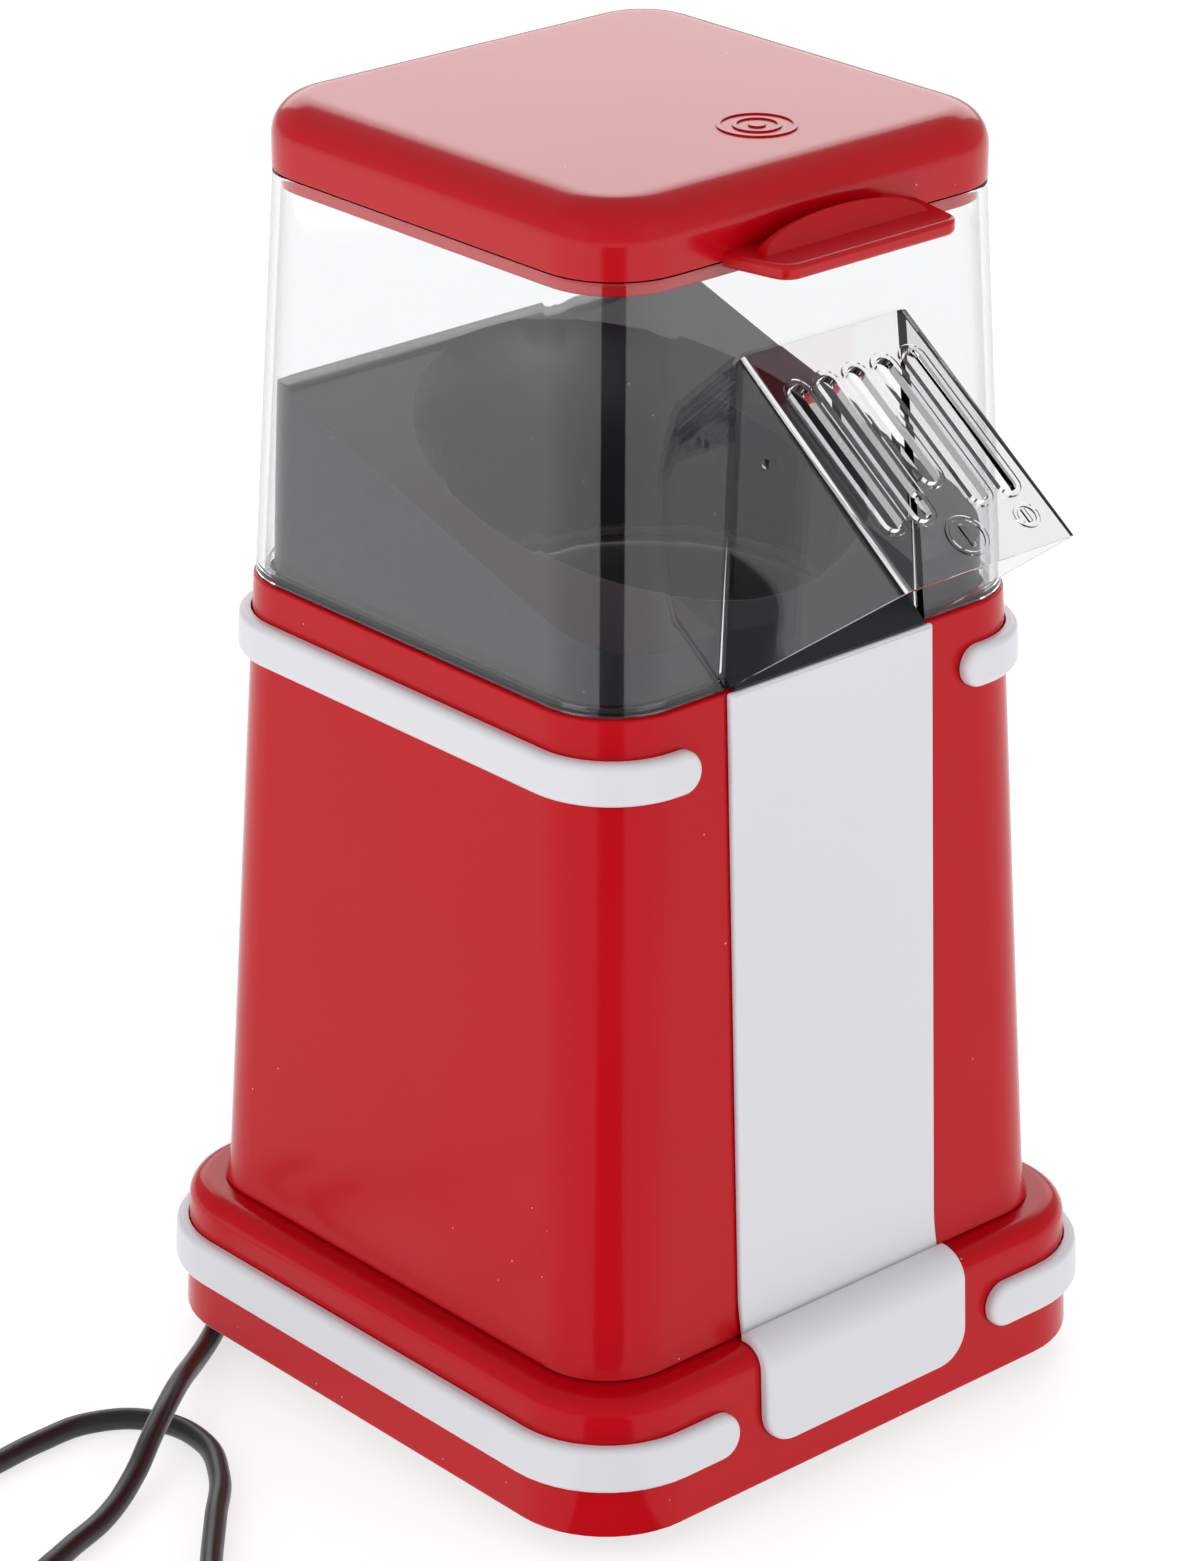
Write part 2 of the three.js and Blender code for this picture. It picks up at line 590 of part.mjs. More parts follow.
class Helix extends THREE.Curve {
  getPoint(t) {
    const angle = t * 4 * Math.PI;
    return new THREE.Vector3(34 * Math.cos(angle), 34 * Math.sin(angle) + CHAMBER_Y, 78 + 20 * t);
  }
}

// A round tube along a path.
function tube(path, radius, steps, sides) {
  const shape = new THREE.Shape();
  shape.absarc(0, 0, radius, 0, 2 * Math.PI);
  const options = { steps, curveSegments: sides / 2, bevelEnabled: false, extrudePath: path };
  return solid(new THREE.ExtrudeGeometry(shape, options));
}

function makeHeater() {
  const path = new Helix();
  add("heater_coil", tube(path, 1.5, 40, 6), steel);
  const reach = DUCT_RADIUS - 1.2 - GAP;
  let frame = ring(0, CHAMBER_Y, reach - 5, reach, [70, 71.5], 28);
  frame = frame.add(box([-reach + 1, reach - 1], [CHAMBER_Y - 0.5, CHAMBER_Y + 0.5], [70, 104]));
  frame = frame.add(box([-0.5, 0.5], [CHAMBER_Y - reach + 1, CHAMBER_Y + reach - 1], [70, 104]));
  add("mica_frame", frame.subtract(ring(0, CHAMBER_Y, 31.5, 36.5, [75, 101], 28)), mica);
}

// ---- Fan, motor and electrical parts ----

function makeDeck() {
  const plate = loft([[DECK_Z, 68, 14], [DECK_TOP, 68, 14]]);
  const wallZ = [DECK_TOP - 0.5, DUCT_BOTTOM - GAP];
  let deck = plate.add(ring(0, CHAMBER_Y, DUCT_RADIUS - 2, DUCT_RADIUS, wallZ));
  deck = deck.subtract(rod(0, CHAMBER_Y, [40, 50], 6));
  for (let k = 0; k < 6; k += 1) {
    const angle = (k * Math.PI) / 3 + Math.PI / 6;
    const x = 27 * Math.cos(angle);
    deck = deck.subtract(rod(x, CHAMBER_Y + 27 * Math.sin(angle), [40, 50], 9, 9, 12));
  }
  for (const [x, y] of DECK_SCREWS) deck = deck.subtract(rod(x, y, [40, 50], 1.7));
  for (const x of MOTOR_SCREW_X) deck = deck.subtract(rod(x, CHAMBER_Y, [40, 50], 1.5));
  add("fan_housing", deck, charcoal);
}

function makeFan() {
  let fan = rod(0, CHAMBER_Y, [48, 49.5], 42, 42, 40).add(rod(0, CHAMBER_Y, [47.2, 60], 5));
  for (let k = 0; k < 10; k += 1) {
    const blade = new THREE.BoxGeometry(28, 1.4, 12);
    blade.rotateZ(0.35);
    blade.translate(26, 0, 54.5);
    blade.rotateZ((k * Math.PI) / 5);
    blade.translate(0, CHAMBER_Y, 0);
    fan = fan.add(solid(blade));
  }
  add("fan", fan.subtract(rod(0, CHAMBER_Y, [45, 65], SHAFT_RADIUS + GAP)), charcoal);
  add("motor_shaft", rod(0, CHAMBER_Y, [10, 58], SHAFT_RADIUS), steel);
}

function makeMotor() {
  const [low, high] = MOTOR_Z;
  let motor = rod(0, CHAMBER_Y, [low, high], MOTOR_RADIUS, MOTOR_RADIUS, 32);
  motor = motor.add(rod(0, CHAMBER_Y, [low - 2, low + 1], 5));
  motor = motor.add(rod(0, CHAMBER_Y, [high - 1, DECK_TOP], 5));
  motor = motor.subtract(rod(0, CHAMBER_Y, [low - 3, DECK_TOP + 1], SHAFT_RADIUS + GAP));
  for (const x of MOTOR_SCREW_X) {
    motor = motor.subtract(rod(x, CHAMBER_Y, [high - 6, high + 1], 1.5));
  }
  add("motor", motor, steel);
}

function makeElectrics() {
  const z = COVER_Z[1] + 5;
  let board = box([26, 54], [2, 30], [z, z + 1.6]);
  for (let k = 0; k < 4; k += 1) {
    board = board.add(rodY(31 + 6 * k, z + 3, [8, 24], 1.8));
  }
  add("rectifier_board", board, mica);
  const floor = COVER_Z[1];
  const terminals = box([14, 46], [48, 62], [floor + GAP, floor + 11]);
  const ways = [20, 30, 40].map((x) => rodY(x, floor + 6, [47, 63], 1.6));
  add("terminal_block", ways.reduce((block, way) => block.subtract(way), terminals), white);
  const disc = rodX(CHAMBER_Y, 140, [DUCT_RADIUS + GAP, DUCT_RADIUS + 5], 8);
  const stem = rodX(CHAMBER_Y, 140, [DUCT_RADIUS + 4, DUCT_RADIUS + 10], 4);
  add("thermostat", disc.add(stem), aluminium);
  const fuseX = -DUCT_RADIUS - 2.6;
  const leads = rod(fuseX, CHAMBER_Y, [112, 154], 0.6, 0.6, 8);
  add("thermal_fuse", rod(fuseX, CHAMBER_Y, [126, 140], 2).add(leads), steel);
}

// Cylinders and cones lying along X or along Y.
function rodX(y, z, [x0, x1], low, high = low) {
  const geometry = new THREE.CylinderGeometry(high, low, x1 - x0, 12);
  geometry.rotateZ(-Math.PI / 2);
  geometry.translate((x0 + x1) / 2, y, z);
  return solid(geometry);
}

function rodY(x, z, [y0, y1], low, high = low) {
  const geometry = new THREE.CylinderGeometry(high, low, y1 - y0, 12);
  geometry.translate(x, (y0 + y1) / 2, z);
  return solid(geometry);
}

// ---- Base ----

function makeCover() {
  const [low, high] = COVER_Z;
  let cover = loft([[low, 79.4, 22], [high, 79.4, 22]]);
  for (let k = -5; k <= 5; k += 1) {
    cover = cover.subtract(box([k * 7 - 1.6, k * 7 + 1.6], [-40, -12], [low - 1, high + 1]));
  }
  for (const [x, y] of [[30, 6], [50, 26]]) cover = cover.add(rod(x, y, [low + 1, high + 4.7], 2.5));
  for (const [x, y] of COVER_SCREWS) cover = cover.subtract(rod(x, y, [low - 1, high + 1], 1.7));
  add("bottom_cover", cover, black);
  corners(FOOT_PLACE, FOOT_PLACE).forEach(([x, y], k) => {
    const foot = rod(x, y, [0, low - GAP], FOOT_RADIUS - 1, FOOT_RADIUS, 24);
    add(`foot_${k + 1}`, foot, rubber);
  });
}

// A pan-head screw: the head's seat is at z, and the shank runs up or down from it.
function screw(name, x, y, z, length, radius, up) {
  const side = up ? 1 : -1;
  const shank = [z - side, z + side * length].sort((a, b) => a - b);
  const head = [z, z - side * 1.8].sort((a, b) => a - b);
  add(name, rod(x, y, shank, radius, radius, 8).add(rod(x, y, head, 3, 3, 10)), steel);
}

function makeScrews() {
  const onDeck = DECK_TOP + GAP;
  COVER_SCREWS.forEach(([x, y], k) => {
    screw(`cover_screw_${k + 1}`, x, y, COVER_Z[0] - GAP, 13, 1.3, true);
  });
  DECK_SCREWS.forEach(([x, y], k) => {
    screw(`deck_screw_${k + 1}`, x, y, onDeck, 9, 1.3, false);
  });
  CHUTE_SCREWS.forEach(([x, y], k) => {
    screw(`chute_screw_${k + 1}`, x, y, SHELF_Z - SHELF_THICK - GAP, 8, 1.3, true);
  });
  MOTOR_SCREW_X.forEach((x, k) => {
    screw(`motor_screw_${k + 1}`, x, CHAMBER_Y, onDeck, 6, 1.2, false);
  });
}

function makeSwitch() {
  const { x, y, z } = SWITCH;
  const { x: halfX, z: halfZ } = SWITCH_HALF;
  const rim = 1.6; // how far the bezel reaches past the body, and how thick the pocket's wall is
  const bezel = box(around(x, halfX + rim), [y + 2.6, y + 3.9], around(z, halfZ + rim));
  const bodyBlock = box(around(x, halfX), [y - 18, y + 3], around(z, halfZ));
  const pocket = box(around(x, halfX - rim), [y - 5.4, y + 5], around(z, halfZ - rim));
  add("switch_body", bodyBlock.add(bezel).subtract(pocket), black);
  const side = [[-4.5, 0], [0, -3.5], [4.5, 0], [4.7, 4.2], [0, 3], [-4.7, 4.2]];
  const tilt = THREE.MathUtils.degToRad(ROCKER_REST_TILT);
  const outline = side.map(([up, out]) => [
    y + out * Math.cos(tilt) + up * Math.sin(tilt),
    z + up * Math.cos(tilt) - out * Math.sin(tilt),
  ]);
  add("switch_rocker", prismX(outline.reverse(), [x - 9.4, x + 9.4]), red);
}

// ---- Cord ----

// The stretch that isn't coiled, from the strain relief to the coil.
const ROUTE = [
  [30, 112.3, 17],
  [30, 119, 16.2],
  [28.5, 129, 13.2],
  [22, 138, 9.2],
  [11, 142.6, 5.6],
  [-1, 140, 3.3],
  [-10, 131.5, 2.8],
  [-17, 120, 2.7],
  [-25.5, 106, 2.7],
  [-37, 93.2, 2.7],
  [-50, 82.7, 2.7],
  [-66, 70.3, 2.7],
  [-82, 57.9, 2.8],
  [-93, 49.4, 4.6],
  [-104, 40.6, 7.4],
  [-114, 32.6, 8.6],
  [-124, 25.4, 7.4],
  [-136, 17.2, 4.4],
  [-149, 10, 2.8],
  [-164, 4.5, 2.7],
  [-179, -2, 2.7],
  [-191, -13, 2.7],
  [-195, -29, 2.7],
  [-186, -43, 2.7],
  [-170, -46, 2.7],
  [-156, -37, 2.7],
  [-144, -22, 2.7],
  [-131, -7, 2.7],
  [-119, 7, 2.7],
  [-112.6, 22, 2.7],
  [-115.5, 36.5, 2.7],
  [-127, 45.5, 2.7],
  [-141, 46.6, 2.7],
  [-157, 45.2, 2.7],
  [-174.5, 44.8, 2.7],
];

function makeCord() {
  const radius = CORD_DIAMETER / 2;
  const points = ROUTE.map(([x, y, z]) => new THREE.Vector3(x, y, z));
  const path = new THREE.CatmullRomCurve3(points, false, "centripetal");
  add("cord_lead", tube(path, radius, 70, 8), black);
  const { x, y, radius: middle } = COIL;
  const inner = middle - CORD_DIAMETER;
  const outer = middle + CORD_DIAMETER;
  add("cord_coil", ring(x, y, inner, outer, [0.1, 1.85 * CORD_DIAMETER], 36), black);
  makeRelief();
  makePlug();
}

function makeRelief() {
  const { x, y, z } = CORD_EXIT;
  const neck = rodY(x, z, [76.5, y - 26], 5);
  const flange = rodY(x, z, [76.5, 79.2], 7.5);
  const collar = rodY(x, z, [82.6, y - 26], 7);
  const boot = rodY(x, z, [y - 27, y], 5.4, 3.6);
  add("strain_relief", neck.add(flange).add(collar).add(boot), black);
}

// A flat two-pin plug beside the coil, with its pins pointing along X.
function makePlug() {
  const { x, y, radius } = COIL;
  const lineY = y + radius + CORD_DIAMETER / 2;
  const tail = x + 22;
  const boot = rodX(lineY, 6.2, [tail, tail + 14], 3.2, 5);
  const shape = new THREE.Shape();
  shape.moveTo(tail + 13, lineY - 6);
  shape.lineTo(tail + 22, lineY - 12);
  shape.lineTo(tail + 36, lineY - 12);
  shape.lineTo(tail + 36, lineY + 12);
  shape.lineTo(tail + 22, lineY + 12);
  shape.lineTo(tail + 13, lineY + 6);
  const head = new THREE.ExtrudeGeometry(shape, { depth: 12.4, bevelEnabled: false });
  const plug = boot.add(solid(head));
  const holes = [-9.3, 9.3].map((side) => rodX(lineY + side, 6.2, [tail + 28, tail + 40], 2.3));
  add("plug_body", plug.subtract(holes[0]).subtract(holes[1]), black);
  [-9.3, 9.3].forEach((side, k) => {
    add(`plug_pin_${k + 1}`, rodX(lineY + side, 6.2, [tail + 28.4, tail + 54], 2), brass);
  });
}

makePlinth();
makeTower();
makePanel();
makeTab();
makeBands();
makeHood();
makeLid();
makeChute();
makeChamber();
makeHeater();
makeDeck();
makeFan();
makeMotor();
makeElectrics();
makeCover();
makeScrews();
makeSwitch();
makeCord();

export default object;
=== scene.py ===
import math

import bmesh
import bpy
from mathutils import Matrix, Vector


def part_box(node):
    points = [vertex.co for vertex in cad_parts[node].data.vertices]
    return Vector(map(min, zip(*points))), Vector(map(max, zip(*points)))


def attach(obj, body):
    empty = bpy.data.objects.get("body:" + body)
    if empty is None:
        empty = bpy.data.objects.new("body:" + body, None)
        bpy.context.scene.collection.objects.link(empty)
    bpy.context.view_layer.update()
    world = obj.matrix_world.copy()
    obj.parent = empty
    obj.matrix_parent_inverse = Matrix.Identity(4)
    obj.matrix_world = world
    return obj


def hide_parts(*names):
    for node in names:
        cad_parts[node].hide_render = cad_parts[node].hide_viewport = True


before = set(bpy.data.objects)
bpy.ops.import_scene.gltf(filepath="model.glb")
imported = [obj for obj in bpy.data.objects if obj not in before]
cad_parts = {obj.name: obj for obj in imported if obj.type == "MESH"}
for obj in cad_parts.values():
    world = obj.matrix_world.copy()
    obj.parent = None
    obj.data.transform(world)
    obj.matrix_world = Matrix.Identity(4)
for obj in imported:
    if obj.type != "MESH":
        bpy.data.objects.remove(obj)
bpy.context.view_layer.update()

# ---- Camera, floor and light ----
# The maker stands on a pale tabletop sweep, seen from its front left corner and a little
# above. Two soft boxes light the left side and the front, and a broad one stands behind.
tower_low, tower_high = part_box("tower_housing")
AXIS_Y = (tower_low.y + tower_high.y) / 2
VIEW_AZIMUTH = math.radians(-42.092)
VIEW_ELEVATION = math.radians(23.481)
VIEW_ROLL = math.radians(0.221)
VIEW_DISTANCE = 1.23098
VIEW_TARGET = Vector((0, AXIS_Y, 0.156))

back = Vector((
    math.sin(VIEW_AZIMUTH) * math.cos(VIEW_ELEVATION),
    -math.cos(VIEW_AZIMUTH) * math.cos(VIEW_ELEVATION),
    math.sin(VIEW_ELEVATION),
))
level = Vector((math.cos(VIEW_AZIMUTH), math.sin(VIEW_AZIMUTH), 0))
upward = back.cross(level)
right = level * math.cos(VIEW_ROLL) + upward * math.sin(VIEW_ROLL)
camera_data = bpy.data.cameras.new("camera")
camera_data.sensor_width = 36
camera_data.lens = 122.8
camera_data.shift_x = -0.0239
camera_data.shift_y = -0.0286
camera = bpy.data.objects.new("camera", camera_data)
camera.matrix_world = (
    Matrix.Translation(VIEW_TARGET + back * VIEW_DISTANCE)
    @ Matrix((right, back.cross(right), back)).transposed().to_4x4()
)
bpy.context.scene.collection.objects.link(camera)
bpy.context.scene.camera = camera
bpy.context.scene.view_settings.view_transform = "Standard"


def soft_box(name, place, width, height, power, mirrored):
    """A rectangular studio lamp that faces the maker; a mirrored one shows in gloss."""
    lamp = bpy.data.lights.new(name, "AREA")
    lamp.shape = "RECTANGLE"
    lamp.size = width
    lamp.size_y = height
    lamp.energy = power
    light = bpy.data.objects.new(name, lamp)
    light.location = place
    light.visible_glossy = mirrored
    aim = Vector(place) - VIEW_TARGET
    light.rotation_mode = "QUATERNION"
    light.rotation_quaternion = aim.to_track_quat("Z", "Y")
    bpy.context.scene.collection.objects.link(light)


soft_box("left_box", (-1.9, 0.25, 0.8), 1.5, 1.5, 17, False)
soft_box("front_box", (0.55, -1.9, 0.8), 1.5, 1.5, 14, False)
soft_box("back_box", (1.15, 1.3, 1.0), 2.4, 1.1, 15, True)

world = bpy.data.worlds.new("studio")
world.use_nodes = True
world.node_tree.nodes["Background"].inputs["Color"].default_value = (1, 1, 1, 1)
world.node_tree.nodes["Background"].inputs["Strength"].default_value = 0.46
bpy.context.scene.world = world

floor_mesh = bmesh.new()
bmesh.ops.create_circle(floor_mesh, cap_ends=True, segments=64, radius=9)
floor_data = bpy.data.meshes.new("tabletop")
floor_mesh.to_mesh(floor_data)
floor_mesh.free()
tabletop = bpy.data.objects.new("tabletop", floor_data)
bpy.context.scene.collection.objects.link(tabletop)
floor_paint = bpy.data.materials.new("tabletop")
floor_paint.use_nodes = True
floor_shader = floor_paint.node_tree.nodes["Principled BSDF"]
floor_shader.inputs["Base Color"].default_value = (0.45, 0.45, 0.45, 1)
floor_shader.inputs["Roughness"].default_value = 0.6
floor_shader.inputs["Specular IOR Level"].default_value = 0.2
floor_shader.inputs["Emission Color"].default_value = (1, 1, 1, 1)
floor_shader.inputs["Emission Strength"].default_value = 0.7
floor_data.materials.append(floor_paint)

# A black card on the table towards the viewer, left out of the direct view. It shows as the
# dark line down the front corner of the glossy walls, and darkens the clear plastic a little.
CARD_START = 0.04
CARD_LENGTH = 1.5
CARD_HALF = 0.42
CARD_LIFT = 0.0004
card_mesh = bmesh.new()
card_sides = bmesh.ops.create_circle(card_mesh, cap_ends=True, segments=3, radius=1.2)["verts"]
facing = Vector((back.x, back.y, 0)).normalized()
across = Vector((-facing.y, facing.x, 0))
card_tip = Vector((0, AXIS_Y, 0)) + facing * CARD_START
card_end = card_tip + facing * CARD_LENGTH
card_corners = [card_tip, card_end + across * CARD_HALF, card_end - across * CARD_HALF]
for v, place in zip(card_sides, card_corners):
    v.co = place + Vector((0, 0, CARD_LIFT))
card_data = bpy.data.meshes.new("black_card")
card_mesh.to_mesh(card_data)
card_mesh.free()
black_card = bpy.data.objects.new("black_card", card_data)
bpy.context.scene.collection.objects.link(black_card)
black_card.visible_camera = False
black_card.visible_diffuse = False
black_card.visible_shadow = False
card_paint = bpy.data.materials.new("black_card")
card_paint.use_nodes = True
card_shader = card_paint.node_tree.nodes["Principled BSDF"]
card_shader.inputs["Base Color"].default_value = (0.01, 0.01, 0.01, 1)
card_data.materials.append(card_paint)


# ---- Power cord ----
# A round two-core mains lead with a black vinyl sheath, 5.2 mm thick. It leaves the rear wall,
# drops to the table, runs under the rear left corner and ends in a flat coil beside the maker.
MM = 0.001
CORD_DIAMETER = 5.2
CORD_ROUTE = [
    (30, 112.3, 17),
    (30, 119, 16.2),
    (28.5, 129, 13.2),
    (22, 138, 9.2),
    (11, 142.6, 5.6),
    (-1, 140, 3.3),
    (-10, 131.5, 2.8),
    (-17, 120, 2.7),
    (-25.5, 106, 2.7),
    (-37, 93.2, 2.7),
    (-50, 82.7, 2.7),
    (-66, 70.3, 2.7),
    (-82, 57.9, 2.8),
    (-93, 49.4, 4.6),
    (-104, 40.6, 7.4),
    (-114, 32.6, 8.6),
    (-124, 25.4, 7.4),
    (-136, 17.2, 4.4),
    (-149, 10, 2.8),
    (-164, 4.5, 2.7),
    (-179, -2, 2.7),
    (-191, -13, 2.7),
    (-195, -29, 2.7),
    (-186, -43, 2.7),
    (-170, -46, 2.7),
    (-156, -37, 2.7),
    (-144, -22, 2.7),
    (-131, -7, 2.7),
    (-119, 7, 2.7),
    (-112.6, 22, 2.7),
    (-115.5, 36.5, 2.7),
    (-127, 45.5, 2.7),
    (-141, 46.6, 2.7),
    (-157, 45.2, 2.7),
    (-174.5, 44.8, 2.7),
]
COIL_X = -194
COIL_Y = 76
COIL_OUTER = 31.2
COIL_INNER = 26
COIL_LIFT = 2.7
PLUG_LINE_Y = COIL_Y + COIL_OUTER
PLUG_LINE_Z = 6.2
PLUG_TAIL_X = COIL_X + 22


def eased(value, start, end):
    """0 before start, 1 after end, and a smooth change between."""
    share = min(max((value - start) / (end - start), 0), 1)
    return share * share * (3 - 2 * share)


def coil_point(turned):
    """Where the cord is after so many degrees, clockwise from the coil's near side.

    The first turn lies outside and the second inside it. The last half turn climbs onto the
    outer one, hops over the place where the cord comes in, and heads for the plug.
    """
    reach = COIL_OUTER + (COIL_INNER - COIL_OUTER) * eased(turned, 310, 360)
    height = COIL_LIFT
    if turned > 600:
        climb = math.radians(180 - 60 * eased(turned, 600, 660))
        reach = COIL_OUTER + CORD_DIAMETER * math.cos(climb)
        height = COIL_LIFT + CORD_DIAMETER * math.sin(climb)
        height += 0.8 * eased(turned, 655, 675) * (1 - eased(turned, 725, 750))
        outward = eased(turned, 820, 890)
        reach += (COIL_OUTER - reach) * outward
        height += 0.8 * outward
    angle = math.radians(-90 - turned)
    return (COIL_X + reach * math.cos(angle), COIL_Y + reach * math.sin(angle), height)


cord_line = list(CORD_ROUTE)
cord_line += [coil_point(turned) for turned in range(0, 901, 20)]
cord_line += [
    (COIL_X + 8, PLUG_LINE_Y, 7.8),
    (COIL_X + 15, PLUG_LINE_Y, 6.8),
    (PLUG_TAIL_X + 1, PLUG_LINE_Y, PLUG_LINE_Z),
]
cord_line = [Vector((x * MM, AXIS_Y + y * MM, z * MM)) for x, y, z in cord_line]

cord_data = bpy.data.curves.new("power_cord", "CURVE")
cord_data.dimensions = "3D"
cord_data.resolution_u = 8
cord_data.render_resolution_u = 8
cord_data.bevel_depth = CORD_DIAMETER / 2 * MM
cord_data.bevel_resolution = 5
cord_data.use_fill_caps = True
spline = cord_data.splines.new("BEZIER")
spline.bezier_points.add(len(cord_line) - 1)
for point, place in zip(spline.bezier_points, cord_line):
    point.co = place
    point.handle_left_type = "AUTO"
    point.handle_right_type = "AUTO"
power_cord = bpy.data.objects.new("power_cord", cord_data)
bpy.context.scene.collection.objects.link(power_cord)


def moulded_finish():
    """A node group for moulded surfaces: fine grain, slow unevenness and sparse dust."""
    group = bpy.data.node_groups.new("moulded_finish", "ShaderNodeTree")
    face = group.interface
    for name in ("Grain Scale", "Patch Scale", "Dust"):
        face.new_socket(name, in_out="INPUT", socket_type="NodeSocketFloat")
    for name in ("Grain", "Patch", "Dust Mask"):
        face.new_socket(name, in_out="OUTPUT", socket_type="NodeSocketFloat")
    nodes, links = group.nodes, group.links
    inside = nodes.new("NodeGroupInput")
    outside = nodes.new("NodeGroupOutput")
    place = nodes.new("ShaderNodeTexCoord")
    for scale, output, detail in (("Grain Scale", "Grain", 3), ("Patch Scale", "Patch", 4)):
        noise = nodes.new("ShaderNodeTexNoise")
        noise.inputs["Detail"].default_value = detail
        links.new(place.outputs["Object"], noise.inputs["Vector"])
        links.new(inside.outputs[scale], noise.inputs["Scale"])
        links.new(noise.outputs["Fac"], outside.inputs[output])
    specks = nodes.new("ShaderNodeTexVoronoi")
    specks.inputs["Scale"].default_value = 180
    links.new(place.outputs["Object"], specks.inputs["Vector"])
    near = nodes.new("ShaderNodeMapRange")
    near.inputs["From Min"].default_value = 0.045
    near.inputs["From Max"].default_value = 0.02
    links.new(specks.outputs["Distance"], near.inputs["Value"])
    chosen = nodes.new("ShaderNodeSeparateColor")
    links.new(specks.outputs["Color"], chosen.inputs["Color"])
    few = nodes.new("ShaderNodeMath")
    few.operation = "LESS_THAN"
    links.new(chosen.outputs["Red"], few.inputs[0])
    links.new(inside.outputs["Dust"], few.inputs[1])
    mask = nodes.new("ShaderNodeMath")
    mask.operation = "MULTIPLY"
    links.new(near.outputs["Result"], mask.inputs[0])
    links.new(few.outputs["Value"], mask.inputs[1])
    links.new(mask.outputs["Value"], outside.inputs["Dust Mask"])
    return group


MOULDED_FINISH = moulded_finish()


def moulding(name, light, dark, gloss, grain=900, depth=0.02, dust=0.1, patch=35, metal=0, **fixed):
    """A moulded or sheet material: two shades, two roughnesses, surface grain and a little dust."""
    material = bpy.data.materials.new(name)
    material.use_nodes = True
    nodes, links = material.node_tree.nodes, material.node_tree.links
    shader = nodes["Principled BSDF"]
    finish = nodes.new("ShaderNodeGroup")
    finish.node_tree = MOULDED_FINISH
    finish.inputs["Grain Scale"].default_value = grain
    finish.inputs["Patch Scale"].default_value = patch
    finish.inputs["Dust"].default_value = dust
    tone = nodes.new("ShaderNodeMix")
    tone.data_type = "RGBA"
    tone.inputs["A"].default_value = (*dark, 1)
    tone.inputs["B"].default_value = (*light, 1)
    links.new(finish.outputs["Patch"], tone.inputs["Factor"])
    dusty = nodes.new("ShaderNodeMix")
    dusty.data_type = "RGBA"
    dusty.inputs["B"].default_value = (0.6, 0.58, 0.56, 1)
    links.new(finish.outputs["Dust Mask"], dusty.inputs["Factor"])
    links.new(tone.outputs["Result"], dusty.inputs["A"])
    links.new(dusty.outputs["Result"], shader.inputs["Base Color"])
    rough = nodes.new("ShaderNodeMapRange")
    rough.inputs["From Min"].default_value = 0.3
    rough.inputs["From Max"].default_value = 0.7
    rough.inputs["To Min"].default_value = gloss[0]
    rough.inputs["To Max"].default_value = gloss[1]
    links.new(finish.outputs["Patch"], rough.inputs["Value"])
    links.new(rough.outputs["Result"], shader.inputs["Roughness"])
    bump = nodes.new("ShaderNodeBump")
    bump.inputs["Strength"].default_value = 0.5
    bump.inputs["Distance"].default_value = depth * MM
    links.new(finish.outputs["Grain"], bump.inputs["Height"])
    links.new(bump.outputs["Normal"], shader.inputs["Normal"])
    shader.inputs["Metallic"].default_value = metal
    for socket, value in fixed.items():
        shader.inputs[socket.replace("_", " ")].default_value = value
    return material


cord_vinyl = moulding(
    "cord_vinyl", (0.014, 0.014, 0.015), (0.006, 0.006, 0.007), (0.28, 0.42), grain=1500, depth=0.05
)
cord_data.materials.append(cord_vinyl)
power_cord.visible_glossy = False
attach(power_cord, "base")
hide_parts("cord_lead", "cord_coil")


# ---- Plug ----
# A flat two-pin plug in black rubber, moulded onto the cord's end, with grip ribs along its
# sides and a flexible neck. Its pins are turned brass rods with rounded tips.
def make_piece(name, bm, material, body, slot, *nodes, crease=32, soften=0.0):
    """Makes a piece of a shape drawn in millimetres about the tower's axis."""
    bmesh.ops.remove_doubles(bm, verts=bm.verts, dist=0.001)
    bmesh.ops.recalc_face_normals(bm, faces=bm.faces)
    bmesh.ops.scale(bm, vec=(MM, MM, MM), verts=bm.verts)
    bmesh.ops.translate(bm, vec=(0, AXIS_Y, 0), verts=bm.verts)
    mesh = bpy.data.meshes.new(name)
    bm.to_mesh(mesh)
    bm.free()
    mesh.shade_smooth()
    mesh.set_sharp_from_angle(angle=math.radians(crease))
    mesh.materials.append(material)
    made = bpy.data.objects.new(name, mesh)
    bpy.context.scene.collection.objects.link(made)
    if soften:
        edges = made.modifiers.new("soft_edges", "BEVEL")
        edges.width = soften * MM
        edges.segments = 3
        edges.limit_method = "ANGLE"
        edges.angle_limit = math.radians(crease)
    shading = made.modifiers.new("even_shading", "WEIGHTED_NORMAL")
    shading.keep_sharp = True
    shading.weight = 90
    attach(made, body)
    if nodes:
        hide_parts(*nodes)
    return made


def turned_shape(profile, axis, centre, steps=32):
    """A shape turned about an axis through centre; profile is (distance along, radius) pairs."""
    bm = bmesh.new()
    line = [bm.verts.new((0, radius, along)) for along, radius in profile]
    for low, high in zip(line, line[1:]):
        bm.edges.new((low, high))
    bmesh.ops.spin(
        bm,
        geom=bm.verts[:] + bm.edges[:],
        axis=(0, 0, 1),
        cent=(0, 0, 0),
        angle=math.tau,
        steps=steps,
        use_merge=True,
        use_duplicate=False,
    )
    bmesh.ops.remove_doubles(bm, verts=bm.verts, dist=0.0005)
    turn = Vector((0, 0, 1)).rotation_difference(Vector(axis)).to_matrix().to_4x4()
    bmesh.ops.transform(bm, matrix=Matrix.Translation(centre) @ turn, verts=bm.verts)
    return bm


